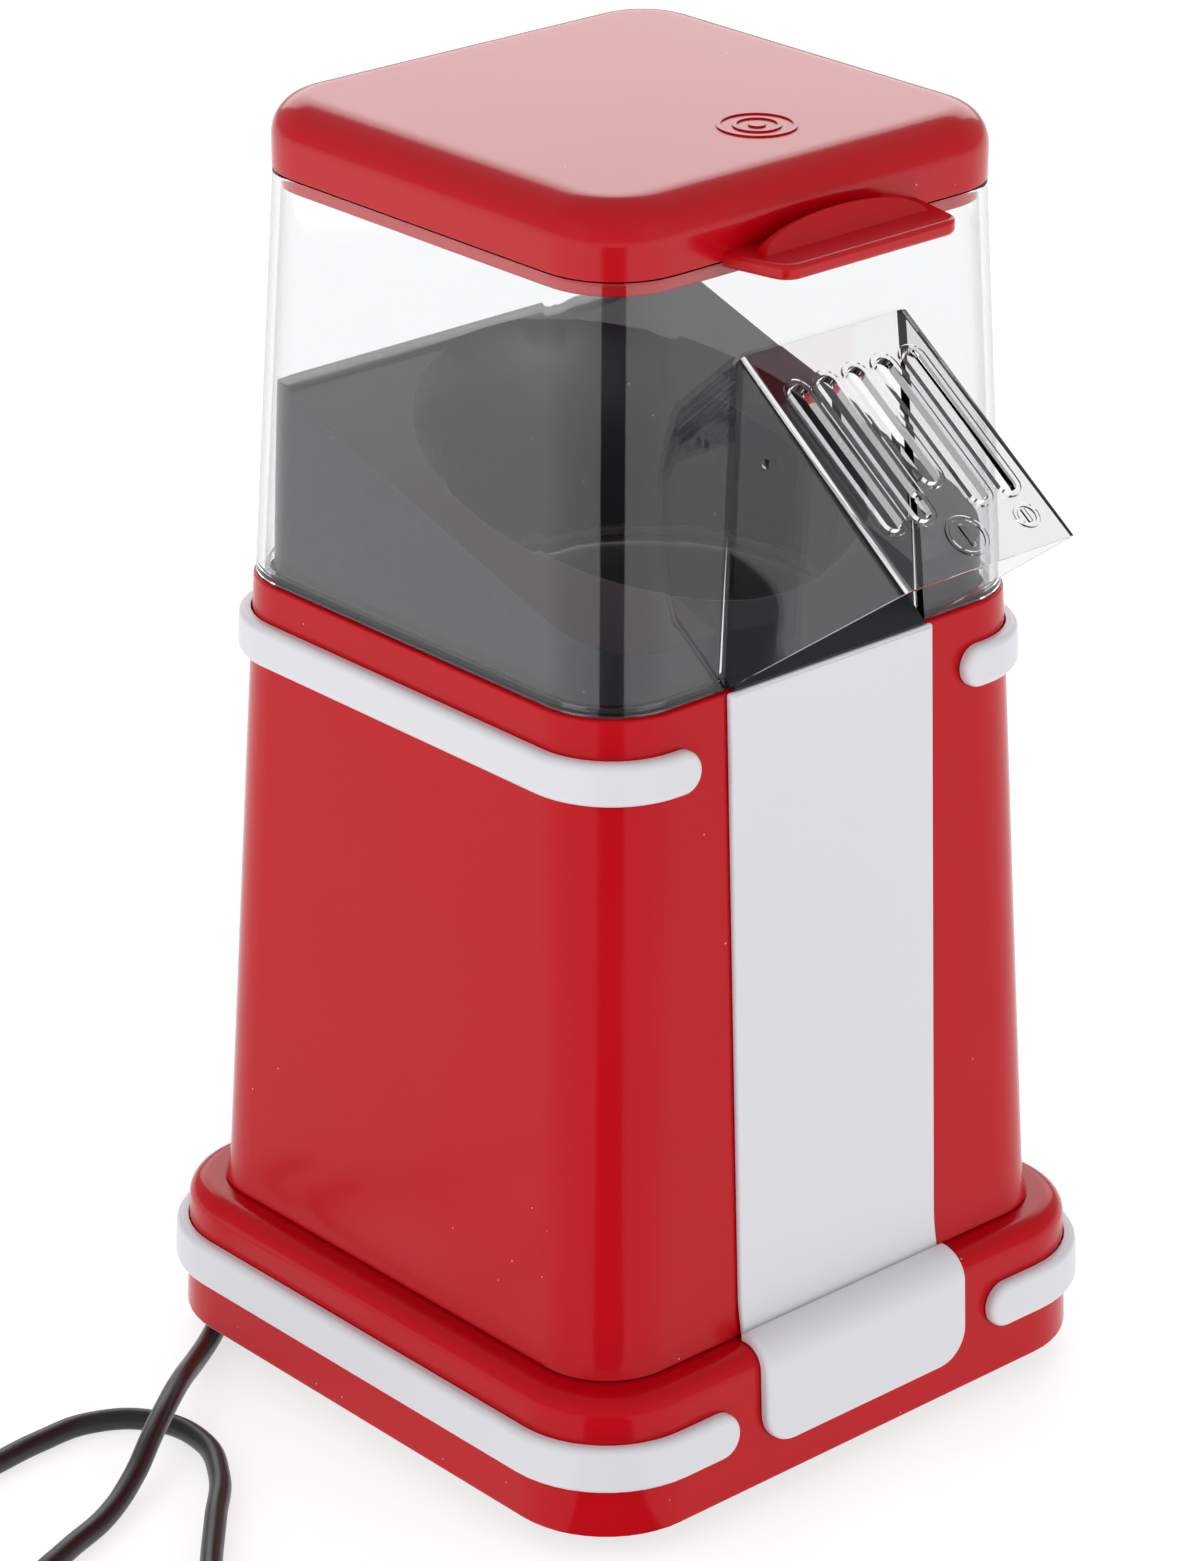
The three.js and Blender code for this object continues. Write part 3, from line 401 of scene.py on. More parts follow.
def join_shapes(bm, *others):
    """Puts other shapes into the same mesh, each staying a closed body of its own."""
    for other in others:
        loose = bpy.data.meshes.new("loose")
        other.to_mesh(loose)
        other.free()
        bm.from_mesh(loose)
        bpy.data.meshes.remove(loose)
    return bm


def round_off(bm, geom, offset, segments, affect="EDGES"):
    """Rounds edges, or the corners of a flat outline, with arcs of so many segments."""
    bmesh.ops.bevel(
        bm,
        geom=geom,
        offset=offset,
        affect=affect,
        segments=segments,
        profile=0.5,
        material=-1,
    )


PLUG_SIZE = (23, 24, 12.4)
RIB_SIZE = (1.1, 1.2, 8.4)
RIB_PITCH = 2.4
NECK_PITCH = 2.6
plug = bmesh.new()
plug_centre = (PLUG_TAIL_X + 24.5, PLUG_LINE_Y, PLUG_LINE_Z)
plug_place = Matrix.Translation(plug_centre)
bmesh.ops.create_cube(plug, size=1, matrix=plug_place @ Matrix.Diagonal((*PLUG_SIZE, 1)))
waist = [v for v in plug.verts if v.co.x < plug_centre[0]]
plug_line = Matrix.Translation((0, -PLUG_LINE_Y, -PLUG_LINE_Z))
bmesh.ops.scale(plug, vec=(1, 0.5, 0.86), space=plug_line, verts=waist)
upright = [e for e in plug.edges if abs(e.verts[0].co.z - e.verts[1].co.z) > 9]
round_off(plug, upright, 4, 5)
round_off(plug, plug.edges[:], 1.2, 3)
neck_profile = [(0, 0), (0, 3.3), (0.6, 3.6)]
for ring in range(5):
    along = 1.6 + NECK_PITCH * ring
    size = 3.9 + 0.32 * ring
    neck_profile += [(along, size), (along + 1.4, size + 0.1)]
    neck_profile += [(along + 1.7, size - 0.9), (along + 2.3, size - 0.9)]
neck_profile += [(15, 5), (15, 0)]
neck = turned_shape(neck_profile, (1, 0, 0), (PLUG_TAIL_X, PLUG_LINE_Y, PLUG_LINE_Z), steps=28)
ribs = []
for side in (-1, 1):
    for rib in range(4):
        grip = bmesh.new()
        rib_x = PLUG_TAIL_X + 25 + RIB_PITCH * rib
        place = Matrix.Translation((rib_x, PLUG_LINE_Y + side * 11.7, PLUG_LINE_Z))
        bmesh.ops.create_cube(grip, size=1, matrix=place @ Matrix.Diagonal((*RIB_SIZE, 1)))
        round_off(grip, grip.edges[:], 0.4, 2)
        ribs.append(grip)
rubber = moulding(
    "rubber", (0.02, 0.02, 0.021), (0.01, 0.01, 0.011), (0.5, 0.68), grain=1800, depth=0.06
)
plug_shape = join_shapes(plug, neck, *ribs)
plug_body = make_piece("plug", plug_shape, rubber, "base", "black_rubber", "plug_body")
plug_body.visible_glossy = False

brass = moulding(
    "brass", (0.72, 0.53, 0.24), (0.6, 0.42, 0.18), (0.28, 0.38), grain=2500, depth=0.01, metal=1
)
PIN_START_X = PLUG_TAIL_X + 28.4
PIN_OFFSET = 9.3
pin_profile = [(0, 0), (0, 2), (23.6, 2), (24.6, 1.7), (25.2, 1.1), (25.5, 0)]
for number, side in ((1, -PIN_OFFSET), (2, PIN_OFFSET)):
    pin_base = (PIN_START_X, PLUG_LINE_Y + side, PLUG_LINE_Z)
    pin = turned_shape(pin_profile, (1, 0, 0), pin_base, steps=20)
    pin = make_piece(f"plug_prong_{number}", pin, brass, "base", "brass_pin", f"plug_pin_{number}")


# ---- Strain relief ----
# A tapered black rubber boot that keeps the cord from kinking where it leaves the rear wall.
# It is moulded onto the cord with flex grooves, and a collar holds it in a hole in the wall.
EXIT = (30, 112, 17)
GROOVE_PITCH = 3.1
BOOT_LENGTH = 26
relief_profile = [(-35.5, 0), (-35.5, 7.3), (-33, 7.3), (-33, 5), (-29.4, 5), (-29.4, 6.6)]
relief_profile += [(-29, 7), (-26.5, 7), (-26, 6.6), (-26, 5.4)]
for groove in range(7):
    along = -24 + GROOVE_PITCH * groove
    size = 5.4 - 1.6 * (along + BOOT_LENGTH) / BOOT_LENGTH
    relief_profile += [(along, size), (along + 0.3, size - 1)]
    relief_profile += [(along + 1.1, size - 1), (along + 1.4, size - 0.05)]
relief_profile += [(-0.6, 3.75), (0, 3.3), (0, 0)]
relief = turned_shape(relief_profile, (0, 1, 0), EXIT, steps=32)
strain_relief = make_piece("cord_boot", relief, rubber, "base", "black_rubber", "strain_relief")


# ---- Feet ----
# Four soft rubber feet pressed into the underside. Each is a low tapered puck with a rounded
# edge and a shallow dimple, and they hold the plinth 6 mm off the table.
soft_rubber = moulding(
    "soft_rubber",
    (0.045, 0.045, 0.047),
    (0.03, 0.03, 0.031),
    (0.75, 0.9),
    grain=2200,
    depth=0.05,
)
QUARTERS = [(1, 1), (-1, 1), (-1, -1), (1, -1)]
FOOT_PLACE = 56
foot_profile = [(0.5, 0), (0.5, 2.6), (0, 3.4), (0, 6.4), (0.6, 7.1), (6.3, 7.9), (6.9, 7.5)]
foot_profile += [(6.9, 0)]
for number, (x, y) in enumerate(QUARTERS, start=1):
    foot = turned_shape(foot_profile, (0, 0, 1), (x * FOOT_PLACE, y * FOOT_PLACE, 0), steps=40)
    make_piece(f"rubber_foot_{number}", foot, soft_rubber, "base", "feet", f"foot_{number}")


# ---- Bottom cover and its screws ----
# A flat black plate with air slots closes the plinth from below. Four zinc-plated screws with
# plain domed heads hold it to bosses inside the plinth.
def paint_nodes(material, *names):
    """Gives CAD parts whose shape is right their real finish."""
    for name in names:
        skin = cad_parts[name].data
        skin.materials.clear()
        skin.materials.append(material)


black_plastic = moulding(
    "black_plastic",
    (0.022, 0.022, 0.024),
    (0.012, 0.012, 0.013),
    (0.42, 0.58),
    grain=1600,
    depth=0.06,
)
paint_nodes(black_plastic, "bottom_cover")
zinc = moulding(
    "zinc_plate",
    (0.62, 0.62, 0.6),
    (0.48, 0.48, 0.47),
    (0.28, 0.42),
    grain=2600,
    depth=0.02,
    metal=1,
)
paint_nodes(zinc, *[f"deck_screw_{k}" for k in (1, 2, 3, 4)], "motor_screw_1", "motor_screw_2")
paint_nodes(zinc, *[f"chute_screw_{k}" for k in (1, 2, 3, 4)])

COVER_UNDERSIDE = 6.9
COVER_SCREW_X = 68
COVER_SCREW_Y = 28
head_profile = [(13.1, 0), (13.1, 0.7), (12, 1.3), (0, 1.3), (0, 3), (-0.9, 2.95), (-1.5, 2.4)]
head_profile += [(-1.8, 1.5), (-1.8, 0)]
head_profile = [(COVER_UNDERSIDE + along, size) for along, size in head_profile]
for number, (x, y) in enumerate(QUARTERS, start=1):
    place = (x * COVER_SCREW_X, y * COVER_SCREW_Y, 0)
    head = turned_shape(head_profile, (0, 0, 1), place, steps=24)
    name = f"cover_screw_head_{number}"
    make_piece(name, head, zinc, "base", "screw_steel", f"cover_screw_{number}")


# ---- Plinth ----
# The square foot of the maker: one glossy red shell moulded with 2.2 mm walls, straight drafted
# sides and a round shoulder. The rear wall has a window for the switch and one for the cord.
ARC_STEPS = 12
PLINTH_CORNER = 57.2
SHOULDER_RADIUS = 5
SHOULDER_HALF = 76.2
SHOULDER_Z = 35
PLINTH_BOTTOM = 6
PLINTH_HALF = 82.5
PLINTH_LEAN = 1.3
PLINTH_WALL = 2.2
SWITCH = (-22, 80, 22)
SWITCH_WINDOW = (11.8, 7.6)
EXIT_WINDOW = 5.3


def square_loop(bm, half, radius, z):
    """A loop of edges about the tower's axis: a square with round corners."""
    older = set(bm.edges)
    place = Matrix.Translation((0, 0, z))
    square = bmesh.ops.create_grid(bm, x_segments=1, y_segments=1, size=half, matrix=place)
    round_off(bm, square["verts"], radius, ARC_STEPS, "VERTICES")
    loop = [e for e in bm.edges if e not in older]
    inside = {f for e in loop for f in e.link_faces}
    bmesh.ops.delete(bm, geom=list(inside), context="FACES_ONLY")
    for edge in [e for e in loop if e.calc_length() > half * 0.3]:
        first, last = edge.verts
        share = 1.5 / edge.calc_length()
        bmesh.utils.edge_split(edge, first, share)
        edge = next(e for e in last.link_edges if e not in older and e.calc_length() > half * 0.3)
        bmesh.utils.edge_split(edge, last, share)
    return [e for e in bm.edges if e not in older]


def skin(bm, rows, closed=True):
    """Bridges round-cornered squares given as (half width, corner radius, height), in order."""
    loops = [square_loop(bm, *row) for row in rows]
    pairs = list(zip(loops, loops[1:]))
    if closed:
        pairs.append((loops[-1], loops[0]))
    for one, two in pairs:
        bmesh.ops.bridge_loops(bm, edges=one + two)
    return loops


def rounded_rows(centre_half, centre_z, radius, start, end, corner, steps=8):
    """Rows along an arc in the wall's section; corner is where the plan's arcs are centred."""
    rows = []
    for step in range(steps + 1):
        angle = math.radians(start + (end - start) * step / steps)
        half = centre_half + radius * math.cos(angle)
        rows.append((half, half - corner, centre_z + radius * math.sin(angle)))
    return rows


def window(bm, xs, zs):
    """Cuts a rectangular hole through the rear wall and closes its four sides."""
    for spot, normal in ((xs, (1, 0, 0)), (zs, (0, 0, 1))):
        for value in spot:
            wall = [f for f in bm.faces if f.calc_center_median().y > 60 and abs(f.normal.y) > 0.9]
            near = {e for f in wall for e in f.edges}
            corners = {v for f in wall for v in f.verts}
            bmesh.ops.bisect_plane(
                bm, geom=[*wall, *near, *corners], plane_co=Vector(normal) * value, plane_no=normal
            )
    middles = [(f, f.calc_center_median()) for f in bm.faces if abs(f.normal.y) > 0.9]
    gone = [
        f for f, c in middles if c.y > 60 and xs[0] < c.x < xs[1] and zs[0] < c.z < zs[1]
    ]
    bmesh.ops.delete(bm, geom=gone, context="FACES")
    rim = [e for e in bm.edges if len(e.link_faces) == 1]
    bmesh.ops.bridge_loops(bm, edges=rim)


def around(middle, half):
    """The two ends of a span about its middle."""
    return (middle - half, middle + half)


red_abs = moulding(
    "red_abs",
    (0.495, 0.0012, 0.0065),
    (0.465, 0.001, 0.0055),
    (0.14, 0.2),
    grain=260,
    depth=0.004,
    dust=0.22,
    patch=14,
    Specular_IOR_Level=0.2,
)
plinth = bmesh.new()
plinth_rows = [(80.3, 23.1, PLINTH_BOTTOM), (81.9, 24.7, PLINTH_BOTTOM), (82.35, 25.15, 6.2)]
plinth_rows += [(PLINTH_HALF, 25.3, 6.7), (81.6, 24.4, 26)]
plinth_rows += rounded_rows(
    SHOULDER_HALF, SHOULDER_Z, SHOULDER_RADIUS, 0, 90, PLINTH_CORNER, steps=10
)
plinth_rows += [(66, 24, 40), (62, 32, 40), (62, 32, 37.8)]
plinth_rows += rounded_rows(
    SHOULDER_HALF, SHOULDER_Z, SHOULDER_RADIUS - PLINTH_WALL, 90, 0, PLINTH_CORNER, steps=6
)
plinth_rows += [(79.1, 21.9, 30)]
skin(plinth, plinth_rows)
bmesh.ops.recalc_face_normals(plinth, faces=plinth.faces)
window(plinth, around(SWITCH[0], SWITCH_WINDOW[0]), around(SWITCH[2], SWITCH_WINDOW[1]))
window(plinth, around(EXIT[0], EXIT_WINDOW), around(EXIT[2], EXIT_WINDOW))
make_piece("plinth", plinth, red_abs, "base", "red_shell", "plinth_shell", crease=50)


# ---- Works in the tower ----
# Motor, fan and heater stand one above the other on a black deck, with a steel duct round the
# heater. They are stock parts, screwed or clipped together, and hidden when the maker is whole.
deck_plastic = moulding(
    "deck_plastic", (0.06, 0.06, 0.062), (0.04, 0.04, 0.042), (0.5, 0.65), grain=1400, depth=0.05
)
motor_can = moulding(
    "motor_can", (0.5, 0.5, 0.49), (0.36, 0.36, 0.35), (0.3, 0.48), grain=1800, metal=1
)
duct_steel = moulding(
    "duct_steel",
    (0.55, 0.54, 0.52),
    (0.42, 0.4, 0.38),
    (0.32, 0.5),
    grain=1200,
    depth=0.03,
    metal=1,
)
heater_wire = moulding(
    "heater_wire",
    (0.3, 0.24, 0.2),
    (0.18, 0.15, 0.14),
    (0.45, 0.6),
    grain=2400,
    depth=0.03,
    metal=1,
)
mica = moulding(
    "mica", (0.5, 0.42, 0.3), (0.36, 0.29, 0.2), (0.45, 0.62), grain=1100, depth=0.04, patch=90
)
board_paper = moulding(
    "board_paper", (0.35, 0.22, 0.1), (0.28, 0.17, 0.07), (0.5, 0.6), grain=1500, depth=0.03
)
nylon = moulding(
    "nylon", (0.68, 0.67, 0.62), (0.6, 0.59, 0.54), (0.42, 0.55), grain=1500, depth=0.03
)
paint_nodes(deck_plastic, "fan_housing", "fan")
paint_nodes(motor_can, "motor", "motor_shaft", "thermal_fuse")
paint_nodes(duct_steel, "heater_duct", "thermostat")
paint_nodes(heater_wire, "heater_coil")
paint_nodes(mica, "mica_frame")
paint_nodes(board_paper, "rectifier_board")
paint_nodes(nylon, "terminal_block")


# ---- Tower ----
# The tall tapered housing, moulded in the same glossy red. It flares a little where it meets
# the plinth, and a ledge inside its top carries the chute; the hood drops into its rim.
TOWER_BOTTOM = 40.3
TOWER_TOP = 196.4
tower = bmesh.new()
tower_rows = [(72.9, 18.1, TOWER_BOTTOM), (73.3, 18.2, 40.6), (73, 18.2, 42), (72.7, 18.2, 43.5)]
tower_rows += [(72.42, 18.2, 46), (72.2, 18.3, 50), (72, 18.35, 55), (66.45, 19.5, 191.5)]
tower_rows += [(66.27, 19.6, 195.9), (66.1, 19.5, 196.25), (65.8, 19.3, TOWER_TOP)]
tower_rows += [(64.4, 17.7, TOWER_TOP), (64.1, 17.4, 196.1), (64.4, 17.4, 186.3), (64, 17.2, 186)]
tower_rows += [(57.5, 32.5, 186), (57.5, 32.5, 184), (64.5, 17.4, 184), (69.9, 16.1, 52)]
tower_rows += [(70.3, 16, 42.3), (62, 32, 42.3), (62, 32, TOWER_BOTTOM)]
skin(tower, tower_rows)
make_piece("tower", tower, red_abs, "base", "red_shell", "tower_housing", crease=50)


# ---- Popping chamber and its seal ----
# A deep cup spun from aluminium and dulled by heat, with slanted air vents near its floor that
# swirl the corn. Its flange hangs on the duct, and a dark silicone ring seals it to the chute.
def carve(bm, tools, operation="DIFFERENCE"):
    """Cuts closed shapes out of a closed shape, or joins them to it, one after another."""
    scene = bpy.context.scene.collection
    block = bpy.data.objects.new("block", bpy.data.meshes.new("block"))
    helpers = [block]
    for shape in (bm, *tools):
        bmesh.ops.recalc_face_normals(shape, faces=shape.faces)
    bm.to_mesh(block.data)
    scene.objects.link(block)
    for tool in tools:
        helper = bpy.data.objects.new("tool", bpy.data.meshes.new("tool"))
        tool.to_mesh(helper.data)
        tool.free()
        scene.objects.link(helper)
        helpers.append(helper)
        cut = block.modifiers.new("cut", "BOOLEAN")
        cut.operation = operation
        cut.solver = "EXACT"
        cut.object = helper
    bpy.context.view_layer.update()
    whole = block.evaluated_get(bpy.context.evaluated_depsgraph_get())
    bm.clear()
    bm.from_mesh(whole.to_mesh())
    whole.to_mesh_clear()
    for helper in helpers:
        bpy.data.meshes.remove(helper.data)
    return bm


def shape_box(low, high, edge=0.0):
    """A block between two corners, with rounded edges if edge is given."""
    bm = bmesh.new()
    low, high = Vector(low), Vector(high)
    size = Matrix.Diagonal((*(high - low), 1))
    bmesh.ops.create_cube(bm, size=1, matrix=Matrix.Translation((low + high) / 2) @ size)
    if edge:
        round_off(bm, bm.edges[:], edge, 3)
    return bm


CHAMBER_Y = -5
CHAMBER_RADIUS = 42.6
CHAMBER_FLOOR = 111
CHAMBER_TOP = 190.3
VENT_COUNT = 10
VENT_SLANT = 0.6
spun_aluminium = moulding(
    "spun_aluminium",
    (0.42, 0.42, 0.43),
    (0.26, 0.26, 0.27),
    (0.34, 0.5),
    grain=700,
    depth=0.04,
    metal=1,
)
cup_profile = [(CHAMBER_FLOOR, 0), (CHAMBER_FLOOR, 37), (CHAMBER_FLOOR + 1.6, 40.6)]
cup_profile += [(CHAMBER_FLOOR + 5.5, CHAMBER_RADIUS), (188, CHAMBER_RADIUS), (189, 43)]
cup_profile += [(189.3, 44), (189.3, 51.6), (189.8, 52), (CHAMBER_TOP, 51.6)]
cup_profile += [(CHAMBER_TOP, 43.4), (189.6, 42.1), (188.2, 41.6), (CHAMBER_FLOOR + 5.6, 41.6)]
cup_profile += [(CHAMBER_FLOOR + 2.4, 39.8), (CHAMBER_FLOOR + 1, 36.6), (CHAMBER_FLOOR + 1, 0)]
cup = turned_shape(cup_profile, (0, 0, 1), (0, CHAMBER_Y, 0), steps=80)
vents = []
for vent in range(VENT_COUNT):
    louvre = shape_box((-3, -0.9, -7), (3, 0.9, 7))
    bmesh.ops.transform(
        louvre,
        matrix=Matrix.Translation((0, CHAMBER_Y, 0))
        @ Matrix.Rotation(vent * math.tau / VENT_COUNT, 4, "Z")
        @ Matrix.Translation((CHAMBER_RADIUS - 0.5, 0, CHAMBER_FLOOR + 14))
        @ Matrix.Rotation(VENT_SLANT, 4, "X"),
        verts=louvre.verts,
    )
    vents.append(louvre)
make_piece("popping_cup", carve(cup, vents), spun_aluminium, "base", "chamber", "popping_chamber")

silicone = moulding(
    "silicone", (0.05, 0.05, 0.052), (0.035, 0.035, 0.037), (0.55, 0.7), grain=1500, depth=0.04
)
seal_profile = [(190.6, 43.9), (190.6, 50.6), (191, 51), (192.2, 51), (192.6, 50.6)]
seal_profile += [(192.6, 43.9), (192.2, 43.5), (191, 43.5), (190.6, 43.9)]
seal = turned_shape(seal_profile, (0, 0, 1), (0, CHAMBER_Y, 0), steps=72)
make_piece("chamber_seal", seal, silicone, "base", "seal", "chamber_gasket")


# ---- Popcorn chute ----
# A charcoal block moulded in heat-proof plastic. Its top slopes down to the front round a dished
# well over the popping chamber, and a spout with a lip leads popped corn out through the hood.
CHUTE_RIDGE_Y = 47
CHUTE_RIDGE_Z = 243.6
CHUTE_SLOPE = 0.32
WELL_RADIUS = 51
WELL_THROAT = 45
WELL_DROP = 8
WELL_TOOL = 12
CROWN_RADIUS = 14.4


def pull_out(bm, shift):
    """Gives a flat shape thickness by extruding its faces."""
    made = bmesh.ops.extrude_face_region(bm, geom=bm.faces[:])
    moved = [v for v in made["geom"] if isinstance(v, bmesh.types.BMVert)]
    bmesh.ops.translate(bm, vec=shift, verts=moved)


def prism(outline, xs, lean=None):
    """A block along X whose side view is given as (y, z) corners; lean gives its half width."""
    bm = bmesh.new()
    bm.faces.new([bm.verts.new((xs[0], y, z)) for y, z in outline])
    pull_out(bm, (xs[1] - xs[0], 0, 0))
    if lean:
        for v in bm.verts:
            v.co.x = math.copysign(lean(v.co.y, v.co.z), v.co.x)
    return bm


def drum(low_radius, high_radius, depth, z):
    """A round block about the popping chamber's axis, centred at a height."""
    bm = bmesh.new()
    bmesh.ops.create_cone(
        bm,
        cap_ends=True,
        segments=96,
        radius1=low_radius,
        radius2=high_radius,
        depth=depth,
        matrix=Matrix.Translation((0, CHAMBER_Y, z)),
    )
    return bm


def slope_z(y):
    """How high the chute's sloping top lies at a distance from the tower's axis."""
    return CHUTE_RIDGE_Z + CHUTE_SLOPE * (y - CHUTE_RIDGE_Y)


chute = bmesh.new()
bottom, top = skin(chute, [(61.8, 16, 186.3), (60.4, 16, 250)], closed=False)
bmesh.ops.holes_fill(chute, edges=bottom + top, sides=0)
crown = [(-90, slope_z(-90)), (CHUTE_RIDGE_Y - 3, CHUTE_RIDGE_Z - 0.9)]
for step in range(13):
    turn = math.radians(-8 + step * 7.8)
    crown_y = CHUTE_RIDGE_Y + 0.8 + CROWN_RADIUS * math.sin(turn)
    crown_z = CHUTE_RIDGE_Z + 0.45 - CROWN_RADIUS * (1 - math.cos(turn))
    crown.append((crown_y, crown_z))
crown += [(90, 215), (90, 300), (-90, 300)]
spread = (WELL_RADIUS - WELL_THROAT) * WELL_TOOL / WELL_DROP
well = drum(WELL_THROAT, WELL_THROAT + spread, WELL_TOOL, -2)
for v in well.verts:
    v.co.z += slope_z(v.co.y)
throat = drum(WELL_THROAT, WELL_THROAT, 70, 215)
seat = drum(53, 53, 8, 188.9)
spout = prism([(-90, 177.7), (-52, 209.9), (-44, 214), (-44, 260), (-90, 260)], (-30, 30))
lip = shape_box((-29, -67, 196.7), (29, -61, 202.4))
chute = carve(chute, [lip], "UNION")
chute = carve(chute, [prism(crown, (-80, 80)), throat, well, spout, seat])
charcoal = moulding(
    "charcoal",
    (0.012, 0.0125, 0.018),
    (0.008, 0.0085, 0.013),
    (0.29, 0.38),
    grain=420,
    depth=0.0012,
    dust=0.3,
    patch=28,
    Specular_IOR_Level=0.35,
)
make_piece(
    "chute",
    chute,
    charcoal,
    "base",
    "charcoal_chute",
    "popcorn_chute",
    crease=34,
    soften=1.1,
)


# ---- White trim ----
# A glossy white strip down the front of the tower, a tongue over the plinth below it, and four
# bumper bands that hug the corners. All are white plastic and lie 0.3 mm off the red walls.
TOWER_HALF = 72.2
TOWER_LEAN = 5.95
TOWER_FLARE = 1.1
FLARE_Z = (38, 50)
TRIM_GAP = 0.3
white_abs = moulding(
    "white_abs",
    (0.7, 0.7, 0.735),
    (0.68, 0.68, 0.712),
    (0.285, 0.34),
    grain=500,
    depth=0.004,
    dust=0.03,
    patch=10,
)


def tower_half(z):
    """Half width of the tower at a height, with the flare near its foot."""
    flare = TOWER_FLARE * (1 - eased(z, *FLARE_Z))
    return TOWER_HALF - TOWER_LEAN * (z - FLARE_Z[1]) / (TOWER_TOP - FLARE_Z[1]) + flare


def flat_plate(bm, half_x, half_y):
    """A rectangle in X and Y about the origin; gives back its corners."""
    size = Matrix.Diagonal((half_x, half_y, 1, 1))
    return bmesh.ops.create_grid(bm, x_segments=1, y_segments=1, size=1, matrix=size)["verts"]


def slice_up(bm, values, normal):
    """Cuts a shape across at some places along a direction, so that it can bend there."""
    for value in values:
        whole = [*bm.verts, *bm.edges, *bm.faces]
        place = Vector(normal) * value
        bmesh.ops.bisect_plane(bm, geom=whole, plane_co=place, plane_no=normal)


def strip_plate(half_long, half_high, corner, cuts, thick, edge):
    """A plate lying in X and Y with round corners, cut across at some places in X and in Y."""
    bm = bmesh.new()
    round_off(bm, flat_plate(bm, half_long, half_high), corner, 8, "VERTICES")
    bmesh.ops.remove_doubles(bm, verts=bm.verts, dist=0.01)
    pull_out(bm, (0, 0, thick))
    rim = [e for e in bm.edges if min(v.co.z for v in e.verts) > thick / 2]
    round_off(bm, rim, edge, 5)
    bmesh.ops.recalc_face_normals(bm, faces=bm.faces)
    slice_up(bm, cuts[0], (1, 0, 0))
    slice_up(bm, cuts[1], (0, 1, 0))
    return bm


strip_middle = sum((TOWER_BOTTOM, TOWER_TOP)) / 2
strip_cuts = [z - strip_middle for z in (41.5, 43, 45, 47.5, 50, 56, 90, 130, 170)]
strip = strip_plate(31, 78.05, 0.6, ([], strip_cuts), 1.1, 0.7)
for v in strip.verts:
    height = strip_middle + v.co.y
    v.co = (v.co.x, -tower_half(height) - TRIM_GAP - v.co.z, height)
make_piece("white_strip", strip, white_abs, "base", "white_trim", "front_panel", crease=40)


def plinth_half(z):
    """Half width of the plinth at a height below its shoulder."""
    return PLINTH_HALF - PLINTH_LEAN * (z - PLINTH_BOTTOM) / (SHOULDER_Z - PLINTH_BOTTOM)


TAB_BOTTOM = 15.5
TAB_FLAT = 1.2
TAB_THICK = 2.3
straight = SHOULDER_Z - TAB_BOTTOM
shoulder = SHOULDER_RADIUS * math.pi / 2
tab_half = (straight + shoulder + TAB_FLAT) / 2
tab = bmesh.new()
lower = [v for v in flat_plate(tab, 32, tab_half) if v.co.y < 0]
round_off(tab, lower, 8.5, 10, "VERTICES")
pull_out(tab, (0, 0, TAB_THICK))
tab_rim = [e for e in tab.edges if min(v.co.z for v in e.verts) > 1]
round_off(tab, tab_rim, 1.3, 5)
slice_up(tab, [straight + shoulder * k / 14 - tab_half for k in range(15)], (0, 1, 0))
for v in tab.verts:
    along = v.co.y + tab_half
    out = v.co.z + TRIM_GAP
    if along < straight:
        v.co = (v.co.x, -plinth_half(TAB_BOTTOM + along) - out, TAB_BOTTOM + along)
    else:
        angle = min((along - straight) / SHOULDER_RADIUS, math.pi / 2)
        bend = SHOULDER_RADIUS + out
        flat = max(along - straight - shoulder, 0)
        v.co.y = -SHOULDER_HALF - bend * math.cos(angle) + flat
        v.co.z = SHOULDER_Z + bend * math.sin(angle)
make_piece("white_tongue", tab, white_abs, "base", "white_trim", "front_tab", crease=40)

BAND_TIP = 40.3
BAND_THICK = 2.7
LOW_BAND_Z = (18.5, 29.5)
HIGH_BAND_Z = (177.5, 187.5)
TOWER_CORNER = 47.33


def bumper_band(side, low, high, half_at, corner):
    """A raised band round one side of the maker, from the front face round to the rear face."""
    middle = (low + high) / 2
    bend = half_at(middle) - corner
    arc = bend * math.pi / 2
    reach = corner + arc + corner - BAND_TIP
    cuts = [corner + arc * k / 12 for k in range(13)] + [corner * 0.5, 0, corner + arc + 5]
    cuts += [-value for value in cuts]
    band = strip_plate(reach, (high - low) / 2, (high - low) / 2, (cuts, []), BAND_THICK, 1.7)
    for v in band.verts:
        run, height, out = abs(v.co.x), middle + v.co.y, v.co.z + TRIM_GAP
        half = half_at(height) + out
        turn = min(max((run - corner) / bend, 0), math.pi / 2)
        x = corner + (half - corner) * math.cos(turn) - max(run - corner - arc, 0)
        y = min(run, corner) + (half - corner) * math.sin(turn)
        v.co = (side * x, math.copysign(y, v.co.x), height)
    return band


for word, side in (("left", -1), ("right", 1)):
    for level, node, heights, half_at, corner in (
        ("low", "lower_band", LOW_BAND_Z, plinth_half, PLINTH_CORNER),
        ("high", "upper_band", HIGH_BAND_Z, tower_half, TOWER_CORNER),
    ):
        band = bumper_band(side, *heights, half_at, corner)
        name = f"{level}_bumper_{word}"
        make_piece(name, band, white_abs, "base", "white_trim", f"{node}_{word}", crease=40)


